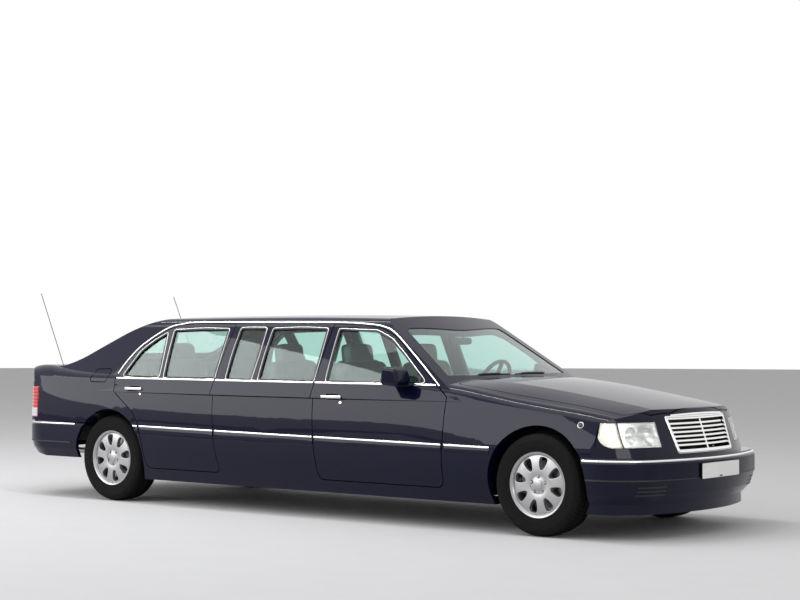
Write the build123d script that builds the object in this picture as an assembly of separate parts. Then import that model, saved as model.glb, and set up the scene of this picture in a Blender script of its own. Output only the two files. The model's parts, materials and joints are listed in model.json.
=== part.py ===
from build123d import *

import os
from math import cos, hypot, pi, radians, sin, sqrt

# A stretched luxury sedan: four hinged doors and a fixed window panel between them on each side.
# Millimetres. +X runs to the nose, +Y to the left, +Z up. The origin is on the ground, in the middle of
# the car's length and width.

# Overall sizes
length = 6213.0
half_width = 943.0
front_overhang = 880.0
wheelbase = 4140.0
front_end = length / 2
rear_end = -length / 2
front_axle_x = front_end - front_overhang
rear_axle_x = front_axle_x - wheelbase

# Wheels and tyres
tyre_radius = 344.0
tyre_width = 235.0
rim_radius = 221.0
rim_width = 216.0
front_track = 1603.0
rear_track = 1576.0
arch_radius = 395.0
hole_count = 8
lug_count = 5
lug_circle = 112.0
disc_radius = 160.0
disc_thickness = 32.0

# Steering
steer_limit = 35.0
kingpin_y = 735.0

# Gaps and walls
door_gap = 7.0
skin = 26.0
door_wall = 115.0
side_clear = 18.0
frame_wall = 48.0
glass_thickness = 5.0
glass_inset = 10.0

# Heights
floor_bottom = 205.0
floor_top = 245.0
sill_bottom = 190.0
belt = 985.0

# Lower body sections, one row each: x, then the half width at the sill, at z 330, at the rub strip and at
# z 800, the shoulder's start (y, z), its end (y, z), the haunch (y, z) and the height on the centre line
SECTION_COLUMNS = ("x", "sill", "low", "wide", "high", "edge_y", "edge_z",
                   "top_y", "top_z", "haunch_y", "haunch_z", "crown_z")
BODY_SECTIONS = [
    (-3130.0, 820.0, 846.0, 868.0, 862.0, 848.0, 930.0, 775.0, 1012.0, 500.0, 1024.0, 1030.0),
    (-2600.0, 850.0, 888.0, 915.0, 908.0, 886.0, 985.0, 800.0, 1062.0, 520.0, 1086.0, 1094.0),
    (-1914.0, 868.0, 912.0, 937.0, 930.0, 900.0, 960.0, 850.0, 1020.0, 560.0, 1050.0, 1060.0),
    (-900.0, 872.0, 922.0, 943.0, 934.0, 902.0, 940.0, 868.0, 990.0, 600.0, 1000.0, 1002.0),
    (500.0, 872.0, 922.0, 943.0, 934.0, 902.0, 935.0, 868.0, 985.0, 600.0, 998.0, 1002.0),
    (1450.0, 870.0, 918.0, 940.0, 926.0, 885.0, 925.0, 822.0, 992.0, 560.0, 1028.0, 1042.0),
    (1900.0, 866.0, 912.0, 937.0, 915.0, 872.0, 868.0, 800.0, 925.0, 540.0, 996.0, 1012.0),
    (2260.0, 860.0, 905.0, 930.0, 902.0, 862.0, 824.0, 785.0, 876.0, 520.0, 948.0, 964.0),
    (2640.0, 850.0, 890.0, 910.0, 880.0, 842.0, 770.0, 765.0, 822.0, 500.0, 888.0, 904.0),
    (3130.0, 830.0, 860.0, 872.0, 842.0, 806.0, 690.0, 730.0, 738.0, 470.0, 768.0, 778.0),
]

# Roof sections, one row each: x, then the half width at the belt, at the top of the side glass, the roof
# edge (y, z) and the height on the centre line
ROOF_SECTIONS = [
    (-2760.0, 812.0, 600.0, 505.0, 1448.0, 1462.0),
    (-1900.0, 872.0, 672.0, 580.0, 1462.0, 1482.0),
    (-900.0, 893.0, 694.0, 600.0, 1471.0, 1491.0),
    (300.0, 893.0, 694.0, 600.0, 1469.0, 1491.0),
    (900.0, 880.0, 680.0, 585.0, 1456.0, 1478.0),
    (1640.0, 838.0, 632.0, 540.0, 1424.0, 1448.0),
]
roof_base = 880.0
glass_top = 1400.0

# Windscreen: a bowed surface that leans back. Its line on the centre plane, and the bow's radius
screen_foot = (1535.0, 1005.0)
screen_head = (905.0, 1403.0)
screen_bow_radius = 2800.0

# Nose: the plan curve at z 600 and how far the face leans back per millimetre of height
nose_height = 600.0
nose_lean = 0.34
nose_plan = [(3014.0, 0.0), (2975.0, 380.0), (2905.0, 620.0), (2800.0, 800.0), (2600.0, 925.0)]

# Tail: the plan curve at z 800
tail_plan = [(-3072.0, 0.0), (-3060.0, 420.0), (-3030.0, 680.0), (-2965.0, 820.0), (-2800.0, 905.0)]
tail_height = 800.0
tail_lean = 0.06

os.makedirs("parts", exist_ok=True)
made = {}


def write(name, shape):
    """Exports one named piece."""
    solids = list(shape) if isinstance(shape, (list, ShapeList)) else list(shape.solids())
    solids = [s for piece in solids for s in piece.solids() if s.volume > 50.0]
    whole = Compound(children=solids) if len(solids) > 1 else solids[0]
    made[name] = whole
    export_step(whole, os.path.join("parts", name + ".step"))


def side(shape, sign):
    """The right-hand piece itself for sign -1, or its mirror image for sign +1."""
    return shape if sign < 0 else mirror(shape, Plane.XZ)


def block(x0, x1, y0, y1, z0, z1):
    """A box between two corners."""
    return Pos((x0 + x1) / 2, (y0 + y1) / 2, (z0 + z1) / 2) * Box(x1 - x0, y1 - y0, z1 - z0)


def rounded_block(x0, x1, y0, y1, z0, z1, radius):
    """A box with every edge rounded."""
    body = block(x0, x1, y0, y1, z0, z1)
    return fillet(body.edges(), radius)


def grown(points, grow):
    """A polygon's corners, moved outwards by grow. Corners are (a, b, radius)."""
    n = len(points)
    area = sum(points[i][0] * points[(i + 1) % n][1] - points[(i + 1) % n][0] * points[i][1]
               for i in range(n))
    turn = 1.0 if area > 0 else -1.0
    result = []
    for i in range(n):
        (xa, ya, _), (xb, yb, r), (xc, yc, _) = points[i - 1], points[i], points[(i + 1) % n]
        la, lb = hypot(xb - xa, yb - ya), hypot(xc - xb, yc - yb)
        na = (turn * (yb - ya) / la, -turn * (xb - xa) / la)
        nb = (turn * (yc - yb) / lb, -turn * (xc - xb) / lb)
        share = grow / (1.0 + na[0] * nb[0] + na[1] * nb[1])
        convex = ((xb - xa) * (yc - yb) - (yb - ya) * (xc - xb)) * turn > 0
        result.append((xb + share * (na[0] + nb[0]), yb + share * (na[1] + nb[1]),
                       max(r + (grow if convex else -grow), 0.0)))
    return result


def outline_edges(points, place):
    """Lines and tangent arcs round a polygon's corners. place turns (a, b) into a point in space."""
    n = len(points)
    ends = []
    for i in range(n):
        (xa, ya, _), (xb, yb, r), (xc, yc, _) = points[i - 1], points[i], points[(i + 1) % n]
        la, lb = hypot(xa - xb, ya - yb), hypot(xc - xb, yc - yb)
        ua, ub = ((xa - xb) / la, (ya - yb) / la), ((xc - xb) / lb, (yc - yb) / lb)
        dot = max(-1.0, min(1.0, ua[0] * ub[0] + ua[1] * ub[1]))
        half = sqrt((1 + dot) / 2), sqrt((1 - dot) / 2)
        reach = r * half[0] / max(half[1], 1e-6)
        if reach < 0.01:
            ends.append(((xb, yb), None, (xb, yb)))
            continue
        bisector = hypot(ua[0] + ub[0], ua[1] + ub[1])
        middle = r / half[1] - r
        ends.append((
            (xb + ua[0] * reach, yb + ua[1] * reach),
            (xb + (ua[0] + ub[0]) / bisector * middle, yb + (ua[1] + ub[1]) / bisector * middle),
            (xb + ub[0] * reach, yb + ub[1] * reach)))
    edges = []
    for i in range(n):
        start, via, end = ends[i]
        if via is not None:
            edges.append(ThreePointArc(place(*start), place(*via), place(*end)))
        nxt = ends[(i + 1) % n][0]
        edges.append(Line(place(*end), place(*nxt)))
    return edges


def outline_face(points, place):
    """A flat face with rounded corners."""
    return make_face(Wire(outline_edges(points, place)))


def prism(points, axis, low, high, grow=0.0):
    """An outline pushed straight along Y or Z, or X, from low to high."""
    places = {"x": lambda a, b: (low, a, b), "y": lambda a, b: (a, low, b), "z": lambda a, b: (a, b, low)}
    along = {"x": (1, 0, 0), "y": (0, 1, 0), "z": (0, 0, 1)}[axis]
    face = outline_face(grown(points, grow) if grow else points, places[axis])
    return extrude(face, amount=high - low, dir=along)


def section_wire(row, inset):
    """One closed lower body section, made of lines and arcs."""
    s = dict(zip(SECTION_COLUMNS, row))
    x, d = s["x"], inset
    low_z, wide_z, high_z = 330.0, 600.0, (600.0 + s["edge_z"]) / 2
    right = [(s["sill"] - d, sill_bottom + min(d, 20.0)), (s["low"] - d, low_z), (s["wide"] - d, wide_z),
             (s["high"] - d, high_z), (s["edge_y"] - d, s["edge_z"] - d * 0.5),
             ((s["edge_y"] * 0.62 + s["top_y"] * 0.38) - d * 0.9,
              s["edge_z"] * 0.36 + s["top_z"] * 0.64 - d * 0.75),
             (s["top_y"] - d * 0.6, s["top_z"] - d),
             ((s["top_y"] + s["haunch_y"]) / 2 - d * 0.3,
              s["top_z"] * 0.42 + s["haunch_z"] * 0.58 - d),
             (s["haunch_y"], s["haunch_z"] - d)]
    crown = (0.0, s["crown_z"] - d)

    def arcs(sign):
        p = [(x, sign * y, z) for y, z in right]
        return [ThreePointArc(p[0], p[1], p[2]), ThreePointArc(p[2], p[3], p[4]),
                ThreePointArc(p[4], p[5], p[6]), ThreePointArc(p[6], p[7], p[8])]

    p0, p8 = right[0], right[8]
    top = ThreePointArc((x, -p8[0], p8[1]), (x, *crown), (x, p8[0], p8[1]))
    bottom = Line((x, p0[0], p0[1]), (x, -p0[0], p0[1]))
    return Wire([*arcs(-1), top, *arcs(1)[::-1], bottom])


def plan_cutter(points, height, lean, front, inset):
    """Everything beyond a curved, leaning end face."""
    sign = 1.0 if front else -1.0
    moved = [(x - sign * inset, y) for x, y in points]
    half = [Vector(x, -y, 0) for x, y in moved]
    other = [Vector(x, y, 0) for x, y in moved]
    far = sign * (abs(points[0][0]) + 700.0)
    curve = [ThreePointArc(other[2], half[0], half[2]), ThreePointArc(half[2], half[3], half[4]),
             Line(half[4], (half[4].X, -1500, 0)), Line((half[4].X, -1500, 0), (far, -1500, 0)),
             Line((far, -1500, 0), (far, 1500, 0)), Line((far, 1500, 0), (half[4].X, 1500, 0)),
             Line((half[4].X, 1500, 0), other[4]), ThreePointArc(other[4], other[3], other[2])]
    face = make_face(Wire(curve))
    low, high = -100.0, 1300.0
    shift = sign * lean
    base = Pos(shift * (height - low), 0, low) * face
    return extrude(base, amount=high - low, dir=(-shift, 0, 1))


def lower_body(inset, nose_inset=None, tail_inset=None):
    """The body below the roof, moved inwards by inset."""
    wires = [section_wire(row, inset) for row in BODY_SECTIONS]
    body = Solid.make_loft(wires)
    nose = plan_cutter(nose_plan, nose_height, nose_lean, True, inset if nose_inset is None else nose_inset)
    tail = plan_cutter(tail_plan, tail_height, tail_lean, False, inset if tail_inset is None else tail_inset)
    return body - nose - tail


def roof_section(row, inset):
    """One closed roof section, made of lines and arcs."""
    x, belt_y, glass_y, edge_y, edge_z, crown_z = row
    d = inset
    lean = (belt_y - glass_y) / (glass_top - belt)
    base_y = belt_y + (belt - roof_base) * lean
    bulge = 7.0
    right = [(base_y - d, roof_base), ((belt_y + glass_y) / 2 + bulge - d, (belt + glass_top) / 2),
             (glass_y - d, glass_top),
             ((glass_y * 0.7 + edge_y * 0.3) - d * 0.8, glass_top * 0.32 + edge_z * 0.68 - d * 0.5),
             (edge_y - d * 0.4, edge_z - d)]

    def arcs(sign):
        p = [(x, sign * y, z) for y, z in right]
        return [ThreePointArc(p[0], p[1], p[2]), ThreePointArc(p[2], p[3], p[4])]

    top = ThreePointArc((x, -right[4][0], right[4][1]), (x, 0, crown_z - d), (x, right[4][0], right[4][1]))
    bottom = Line((x, right[0][0], roof_base), (x, -right[0][0], roof_base))
    return Wire([*arcs(-1), top, *arcs(1)[::-1], bottom])


def screen_cutter(inset):
    """Everything ahead of the bowed windscreen."""
    r = screen_bow_radius
    (fx, fz), (hx, hz) = screen_foot, screen_head
    dx, dz = hx - fx, hz - fz
    run = hypot(dx, dz)
    back = inset * run / dz
    reach = 1300.0
    bow = reach ** 2 / (2 * r)
    t = (roof_base - 250.0 - fz) / dz
    x0 = fx + dx * t - back
    z0 = roof_base - 250.0
    arc = ThreePointArc((x0 - bow, -reach, z0), (x0, 0, z0), (x0 - bow, reach, z0))
    far = x0 + 1500.0
    face = make_face(Wire([arc, Line((x0 - bow, reach, z0), (far, reach, z0)),
                           Line((far, reach, z0), (far, -reach, z0)),
                           Line((far, -reach, z0), (x0 - bow, -reach, z0))]))
    return extrude(face, amount=1000.0 * run / dz, dir=(dx / run, 0, dz / run))


def tail_slope_cutter(inset):
    """Everything above the rear window and its pillars, from the roof down to the boot lid."""
    d = inset
    p = [(-1180.0, 1560.0), (-1380.0, 1481.0 - d), (-1660.0, 1440.0 - d), (-1950.0, 1346.0 - d),
         (-2280.0, 1192.0 - d), (-2450.0, 1122.0 - d), (-2620.0, 1078.0 - d), (-3200.0, 1030.0 - d),
         (-3200.0, 1560.0)]
    q = [(x, -1200.0, z) for x, z in p]
    wire = Wire([Line(q[0], q[1]), ThreePointArc(q[1], q[2], q[3]), Line(q[3], q[4]),
                 ThreePointArc(q[4], q[5], q[6]), Line(q[6], q[7]), Line(q[7], q[8]), Line(q[8], q[0])])
    return extrude(make_face(wire), amount=2400.0, dir=(0, 1, 0))


def upper_body(inset, screen_inset=None, tail_inset=None):
    """The roof, pillars and glass as one solid, moved inwards by inset."""
    wires = [roof_section(row, inset) for row in ROOF_SECTIONS]
    body = Solid.make_loft(wires)
    front = screen_cutter(inset if screen_inset is None else screen_inset)
    rear = tail_slope_cutter(inset if tail_inset is None else tail_inset)
    return body - front - rear


def whole(shape):
    """All solids of a shape as one compound or solid."""
    if shape is None:
        return Part()
    items = list(shape) if isinstance(shape, (list, ShapeList)) else [shape]
    solids = [s for item in items for s in item.solids() if s.volume > 1.0]
    return solids[0] if len(solids) == 1 else Compound(solids)


def cut(shape, *tools):
    """The shape without the tools."""
    for tool in tools:
        shape = whole(shape - tool)
    return shape


def both(shape, tool):
    """What two shapes share."""
    return whole(shape & tool)


def join(*shapes):
    """All the shapes as one."""
    result = shapes[0]
    for shape in shapes[1:]:
        result = whole(result + shape)
    return result


def leaning_prism(points, lean, grow=0.0, far=1050.0, near=635.0, reference=960.0):
    """A side outline pushed inwards from the right-hand side, leaning forwards with depth."""
    corners = grown(points, grow) if grow else points
    corners = [(x - lean * (reference - surface_y(z)), z, r) for x, z, r in corners]
    face = outline_face(corners, lambda a, b: (a - lean * (far - reference), -far, b))
    return extrude(face, amount=far - near, dir=(lean, 1, 0))


def surface_y(z):
    """The half width of the body's side at a height, as used to place the shut lines."""
    return 938.0 if z < 900.0 else 893.0 - 0.48 * (z - belt) if z > belt else 938.0 - (z - 900.0) * 0.53


def rod(a, b, radius):
    """A round bar between two points."""
    start, end = Vector(*a), Vector(*b)
    along = end - start
    return extrude(Plane(origin=start, z_dir=along) * Circle(radius), amount=along.length)


def pipe(points, radius):
    """Round bars from point to point, with a ball at each bend."""
    bars = [rod(a, b, radius) for a, b in zip(points, points[1:])]
    balls = [Pos(*p) * Sphere(radius) for p in points[1:-1]]
    return join(*bars, *balls)


def drum(x, y0, y1, z, radius, bore=0.0):
    """A disc or ring whose axis runs across the car."""
    ring = rod((x, y0, z), (x, y1, z), radius)
    return cut(ring, rod((x, y0 - 1, z), (x, y1 + 1, z), bore)) if bore else ring


# The shell: outer form less the cabin, the engine bay, the boot and the wheel wells
outer = join(lower_body(0.0), upper_body(0.0))
inner_lower = lower_body(skin, 70.0, 60.0)
inner_upper = upper_body(frame_wall)
glass_layer = cut(upper_body(glass_inset, glass_inset, glass_inset),
                  upper_body(glass_inset + glass_thickness))

cabin_half = half_width - door_wall
cabin_front, cabin_rear = 1405.0, -1885.0
bay_back, boot_front = 1450.0, -1925.0
shelf_top = belt - 10.0
cabin = join(block(cabin_rear, cabin_front, -cabin_half, cabin_half, floor_top, shelf_top),
             both(inner_upper, block(-2395, 1480, -1000, 1000, shelf_top - 1.0, 1600)))
bay = join(both(inner_lower, block(bay_back, 3300, -1000, 1000, 150, 1200)),
           block(bay_back, 2960, -470, 470, 100, 500))
boot = both(inner_lower, block(-3300, boot_front, -1000, 1000, 430, 940))
boot = join(boot, both(inner_lower, block(-3300, -2450, -1000, 1000, 430, 1200)))

front_inner_y, rear_inner_y = 490.0, 610.0
tub_wall = 8.0
wells, tubs = [], []
for x, inner in ((front_axle_x, front_inner_y), (rear_axle_x, rear_inner_y)):
    wells.append(rod((x, -1200, tyre_radius), (x, -inner, tyre_radius), arch_radius))
    tub = rod((x, -900, tyre_radius), (x, -inner + tub_wall, tyre_radius), arch_radius + tub_wall)
    tub = cut(tub, wells[-1], rod((x, -inner - 5, tyre_radius), (x, -inner + 50, tyre_radius), 250.0))
    tubs.append(both(tub, block(x - 500, x + 500, -930, -400, 330, 900)))
tubs[0] = cut(tubs[0], block(front_axle_x, 3300, -1300, 0, 50, 545))
tubs[1] = cut(tubs[1], block(-3300, rear_axle_x, -1300, 0, 50, 630))

bumper_front_top, bumper_rear_top = 538.0, 622.0
front_cut = block(front_axle_x, 3300, -1300, 1300, 50, bumper_front_top)
rear_cut = block(-3300, cabin_rear, -1300, 1300, 50, bumper_rear_top)
heel_x, heel_top = -1750.0, 470.0
rear_pit = block(-2200, heel_x, -cabin_half, cabin_half, 50, heel_top)
shell = cut(outer, cabin, bay, boot, front_cut, rear_cut, rear_pit)
for well in wells:
    shell = cut(shell, well, mirror(well, Plane.XZ))
right = both(shell, block(-3300, 3300, -1300, 0, 0, 1700))

# Doors
front_door = [(322, 288, 45), (1446, 288, 60), (1461, 720, 300), (1457, 900, 60), (1378, 964, 25),
              (1159, 1130, 200), (880, 1325, 250), (740, 1385, 200), (560, 1408, 300), (274, 1418, 10)]
rear_door = [(-731, 1420, 10), (-1150, 1424, 300), (-1350, 1408, 150), (-1480, 1372, 150),
             (-1690, 1248, 300), (-1805, 1128, 200), (-1872, 1002, 30), (-1868, 880, 60),
             (-1640, 735, 90), (-1562, 645, 80), (-1515, 480, 150), (-1492, 288, 45), (-688, 288, 45)]
front_lean, rear_lean = 0.3, 0.45
front_window = [(372, 1003, 20), (1262, 1003, 25), (1005, 1195, 80), (846, 1300, 90), (700, 1358, 90),
                (346, 1378, 20)]
rear_window_outline = [(-1318, 1008, 20), (-778, 1008, 20), (-795, 1378, 20), (-1380, 1370, 20)]
quarter_window = [(-1800, 1010, 20), (-1392, 1010, 20), (-1462, 1345, 15), (-1560, 1290, 60),
                  (-1680, 1200, 120)]
mid_windows = [[(-640, 1005, 20), (-385, 1005, 20), (-397, 1380, 20), (-654, 1380, 20)],
               [(-300, 1005, 20), (236, 1005, 20), (216, 1380, 20), (-313, 1380, 20)]]

DOOR_COLUMNS = ("name", "outline", "lean", "windows", "striker (x, z)", "handle (x, z)")
door_rows = (("front", front_door, front_lean, [front_window], (318.0, 600.0), (455.0, 890.0)),
             ("rear", rear_door, rear_lean, [rear_window_outline, quarter_window], (-1862.0, 925.0),
              (-1630.0, 908.0)))
handle_length, handle_height, handle_skin_y = 190.0, 22.0, 910.0
handle_reach, handle_bar = 15.0, 10.0
grip_length, grip_height, grip_depth = 118.0, 42.0, 13.0

# Door strikers: a steel tongue on the pillar behind each door, in a slot of the door's rear edge
running_gap = 0.3
striker_length = 18.0
striker_root = 30.0
striker_height = 24.0
striker_outer_y, striker_inner_y = 898.0, 862.0
striker_room = 9.0


def with_handle(door, x, z):
    """The door with a pull bar on two feet, over a hollow for the fingers."""
    half, high, y = handle_length / 2, handle_height / 2, handle_skin_y
    hollow = rounded_block(x - grip_length / 2, x + grip_length / 2, -y - 40, grip_depth - y,
                           z - grip_height / 2, z + grip_height / 2, 12.0)
    bar = rounded_block(x - half, x + half, -y - handle_reach, handle_bar - y - handle_reach,
                        z - high, z + high, 4.0)
    feet = [block(x + s * (half - 16) - 12, x + s * (half - 16) + 12, 2 - y - handle_reach, 12 - y,
                  z - high + 3, z + high - 3) for s in (-1, 1)]
    return join(cut(door, hollow), bar, *feet)


def striker(x, z):
    """The tongue that the door's lock closes on, let into the pillar at its root."""
    return block(x - striker_root, x + striker_length, -striker_outer_y, -striker_inner_y,
                 z - striker_height / 2, z + striker_height / 2)


def striker_slot(x, z):
    """The slot round the tongue, open at the door's rear edge and towards the cabin."""
    half = striker_height / 2 + running_gap
    return block(x - striker_root, x + striker_length + striker_room, -striker_outer_y - striker_room,
                 1.0 - cabin_half, z - half, z + half)


def frame_limit(depth, low):
    """Everything above low and inboard of a plane that leans like the side glass, depth inside it."""
    high = 1600.0
    slope = 0.48
    points = [(-3000, y, z) for y, z in ((depth - 893.0 + slope * (low - belt), low),
                                         (depth - 893.0 + slope * (high - belt), high), (0, high), (0, low))]
    return extrude(make_face(Wire.make_polygon(points)), amount=6000.0, dir=(1, 0, 0))


frame_depth = 62.0
openings, strikers = [], []
for name, outline, lean, windows, striker_place, handle_place in door_rows:
    front_edge = max(x for x, _, _ in outline)
    door = both(right, leaning_prism(outline, lean))
    door = cut(door, block(front_edge, 3000, -1100, 0, 0, 1600),
               block(-3000, 3000, -cabin_half, 0, 0, shelf_top),
               frame_limit(frame_depth, shelf_top))
    opening = leaning_prism(outline, lean, door_gap, near=635.0 - door_gap)
    opening = cut(opening, block(front_edge + door_gap + 1.0, 3000, -1100, 0, 0, 1600),
                  block(-3000, 3000, door_gap - cabin_half, 0, 0, shelf_top + door_gap),
                  frame_limit(frame_depth + door_gap, shelf_top + door_gap))
    openings.append(opening)
    panes = []
    for window in windows:
        hole = prism(window, "y", -1050.0, -500.0)
        door = cut(door, hole)
        panes.append(both(glass_layer, hole))
    door = cut(with_handle(door, *handle_place), striker_slot(*striker_place))
    strikers.append(striker(*striker_place))
    for word, sign in (("right", -1), ("left", 1)):
        write(f"door_{name}_{word}", side(door, sign))
        write(f"glass_{name}_{word}", [side(pane, sign) for pane in panes])


# Hood and boot lid, from plan outlines. The hood's shut faces lean forward with height, so that the front
# edge clears the nose as it rises
hood_lean = 0.35
hood_low = 780.0
hood_outline = [(2905, 330, 60), (2868, 520, 60), (2780, 700, 40), (1478, 770, 40),
                (1478, -770, 40), (2780, -700, 40), (2868, -520, 60), (2905, -330, 60)]
lid_outline = [(-2432, 745, 40), (-3300, 745, 1), (-3300, -745, 1), (-2432, -745, 40)]
lid_low = 915.0
lid_low_half = 520.0


def plan_prism(points, low, high, grow=0.0, lean=0.0):
    """A plan outline pushed up, leaning along X with height."""
    corners = grown(points, grow) if grow else points
    corners = [(x - lean * (825.0 + (2905.0 - x) * 0.14 - low), y, r) for x, y, r in corners]
    face = outline_face(corners, lambda a, b: (a, b, low))
    return extrude(face, amount=high - low, dir=(lean, 0, 1))


hood_region = plan_prism(hood_outline, hood_low, 1300.0, 0.0, hood_lean)
hood_opening = plan_prism(hood_outline, hood_low - door_gap, 1300.0, door_gap, hood_lean)
hood_region = cut(hood_region, block(1300, bay_back + door_gap, -1300, 1300, 700, 1400))
hood_opening = cut(hood_opening, block(1300, bay_back, -1300, 1300, 700, 1400))
lid_region = join(plan_prism(lid_outline, lid_low, 1300.0),
                  block(-3300, -2800, -lid_low_half, lid_low_half, bumper_rear_top + 10, lid_low + 1))
lid_opening = join(plan_prism(lid_outline, lid_low - door_gap, 1300.0, door_gap),
                   block(-3300, -2800, -lid_low_half - door_gap, lid_low_half + door_gap,
                         bumper_rear_top - 1, lid_low + 1))
hood = both(shell, hood_region)
write("hood", hood)
write("trunk_lid", both(shell, lid_region))

# Windscreen and rear window, from plan outlines
screen_outline = [(1700, 800, 1), (1436, 764, 40), (866, 592, 60), (958, 0, 1200), (866, -592, 60),
                  (1436, -764, 40), (1700, -800, 1)]
rear_screen_outline = [(-1585, 530, 60), (-2300, 665, 60), (-2300, -665, 60), (-1585, -530, 60)]
screen_hole = prism(screen_outline, "z", 1052.0, 1600.0)
rear_hole = prism(rear_screen_outline, "z", 1120.0, 1600.0)
write("windshield", both(cut(screen_cutter(glass_inset), screen_cutter(glass_inset - glass_thickness)),
                         screen_hole))
write("rear_window", both(cut(tail_slope_cutter(glass_inset),
                              tail_slope_cutter(glass_inset - glass_thickness)), rear_hole))

# Lamps and grille, cut out of the nose and tail walls
lamp_low, lamp_high, lamp_inner_y = 602.0, 770.0, 500.0
lamp_plan = [(2655, -1000, 1), (3200, -1000, 1), (3200, -lamp_inner_y, 1), (2700, -lamp_inner_y, 1)]
lamp_region = prism(lamp_plan, "z", lamp_low, lamp_high)
tail_lamp_region = block(-3300, -2815, -1000, -545, 650, 903)
write("headlamps", [side(both(right, lamp_region), s) for s in (-1, 1)])
write("taillamps", [side(both(right, tail_lamp_region), s) for s in (-1, 1)])

grille_outline = [(-405, 803, 14), (405, 803, 14), (366, 558, 14), (-366, 558, 14)]
grille_frame = 24.0
slat_count = 6
slat_height = 12.0
grille_hole = prism(grille_outline, "x", 2700.0, 3200.0)
grille_inside = prism(grille_outline, "x", 2600.0, 3300.0, -grille_frame)
nose_wall = both(shell, grille_hole)
grille = [cut(nose_wall, grille_inside)]
pitch = (803.0 - 558.0 - 2 * grille_frame) / (slat_count + 1)
slats = [block(2700, 3200, -500, 500, z - slat_height / 2, z + slat_height / 2)
         for z in [558.0 + grille_frame + pitch * (i + 1) for i in range(slat_count)]]
bars = join(*slats, block(2700, 3200, -10, 10, 500, 900))
grille.append(both(both(both(outer, grille_inside), bars), cut(grille_hole, plan_cutter(
    nose_plan, nose_height, nose_lean, True, 12.0))))
back_cut = block(2600, 2860, -600, 600, 500, 900)
write("grille", cut(join(*grille), back_cut, hood_opening))

# Central pieces of the shell
roof_region = block(-1600, 962, -588, 588, 1380, 1600)
write("roof_panel", cut(both(shell, roof_region), screen_hole, rear_hole))
wall_half = cabin_half - side_clear
firewall_region = block(cabin_front, 1476, -wall_half, wall_half, 150, 1120)
rear_wall_region = join(block(-2450, cabin_rear, -600, 600, 430, shelf_top),
                        block(-2450, -2290, -600, 600, shelf_top - 1, 1300))
firewall = cut(both(shell, firewall_region), hood_opening, screen_hole,
               block(bay_back, 1500, -wall_half - 1, wall_half + 1, 150, 700),
               block(1300, 1500, -130, 130, 150, 480))
write("bulkheads", [firewall,
                    cut(both(shell, rear_wall_region), rear_hole, lid_opening)])
floor_region = block(heel_x, cabin_front, -cabin_half, cabin_half, 150, floor_top)
tunnel_half, tunnel_top = 130.0, 420.0
riser_wall = 20.0
floor = cut(both(shell, floor_region), block(heel_x - 9, cabin_front + 9, -800, 800, 150, floor_bottom))
tunnel = cut(block(heel_x - riser_wall, cabin_front, -tunnel_half, tunnel_half, floor_bottom, tunnel_top),
             block(heel_x - riser_wall - 9, cabin_front + 9, 20 - tunnel_half, tunnel_half - 20, 150,
                   tunnel_top - 20))
floor = join(cut(floor, block(heel_x - 9, cabin_front + 9, -tunnel_half, tunnel_half, 150, 300)), tunnel)
tub_back, tub_half, tub_bottom = -2820.0, 600.0, 448.0
tub_skin, tub_floor, tub_front_wall = 8.0, 12.0, 20.0
tub_front = cabin_rear - running_gap
tub_room = block(tub_back + tub_skin, tub_front - tub_front_wall, tub_skin - tub_half, tub_half - tub_skin,
                 tub_bottom + tub_floor, 700)
boot_tub = cut(block(tub_back, tub_front, -tub_half, tub_half, tub_bottom, bumper_rear_top), tub_room)
boot_shelf = cut(both(inner_lower, block(-3000, boot_front, -1000, 1000, bumper_rear_top + running_gap, 640)),
                 tub_room)
seat_riser = join(block(cabin_rear, heel_x, -600, 600, heel_top, heel_top + 22),
                  block(heel_x - riser_wall, heel_x, -600, 600, tunnel_top, heel_top + 22),
                  block(heel_x - riser_wall, heel_x, tunnel_half, 600, floor_bottom, heel_top + 22),
                  block(heel_x - riser_wall, heel_x, -600, -tunnel_half, floor_bottom, heel_top + 22))
for x, inner in ((rear_axle_x, rear_inner_y),):
    grown_well = rod((x, -1200, tyre_radius), (x, tub_wall - inner, tyre_radius), arch_radius + tub_wall)
    boot_shelf = cut(boot_shelf, grown_well, mirror(grown_well, Plane.XZ))
rail_half = 470.0
rails = [block(bay_back, 2766, s * 425 - 25, s * 425 + 25, 520, 600) for s in (-1, 1)]
support = block(2765, 2795, -450, 450, 330, 765)
buffer_y = 330.0
lowered_hood = Pos(0, 0, -running_gap) * hood
for s in (-1, 1):
    stop = cut(rod((2780, s * buffer_y, 755), (2780, s * buffer_y, 1000), 11.0), lowered_hood)
    support = join(support, stop.solids().sort_by(Axis.Z)[0])
write("floor_pan", [join(floor, seat_riser), boot_tub, boot_shelf, join(support, *rails)])

# Fenders, nose panel and side frames
front_region = block(1468, 3300, -1300, 0, 0, 1200)
nose_half = 490.0
front_side = cut(both(right, front_region), hood_opening, lamp_region, grille_hole, firewall_region)
nose = both(front_side, block(2600, 3300, -nose_half, 0, 0, 1200))
write("nose_panel", join(nose, mirror(nose, Plane.XZ)))
fender = join(cut(front_side, block(1460, 3300, -nose_half, 1, 0, 1200)), both(tubs[0], outer))
write("fenders", [side(fender, s) for s in (-1, 1)])
frame = cut(right, *openings, front_region, lid_opening, roof_region, screen_hole, rear_hole,
            firewall_region, rear_wall_region, floor_region, tail_lamp_region)
for window in mid_windows:
    frame = cut(frame, prism(window, "y", -1050.0, -500.0))
frame = join(frame, both(tubs[1], outer))
frame = join(frame, *strikers)

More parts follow.
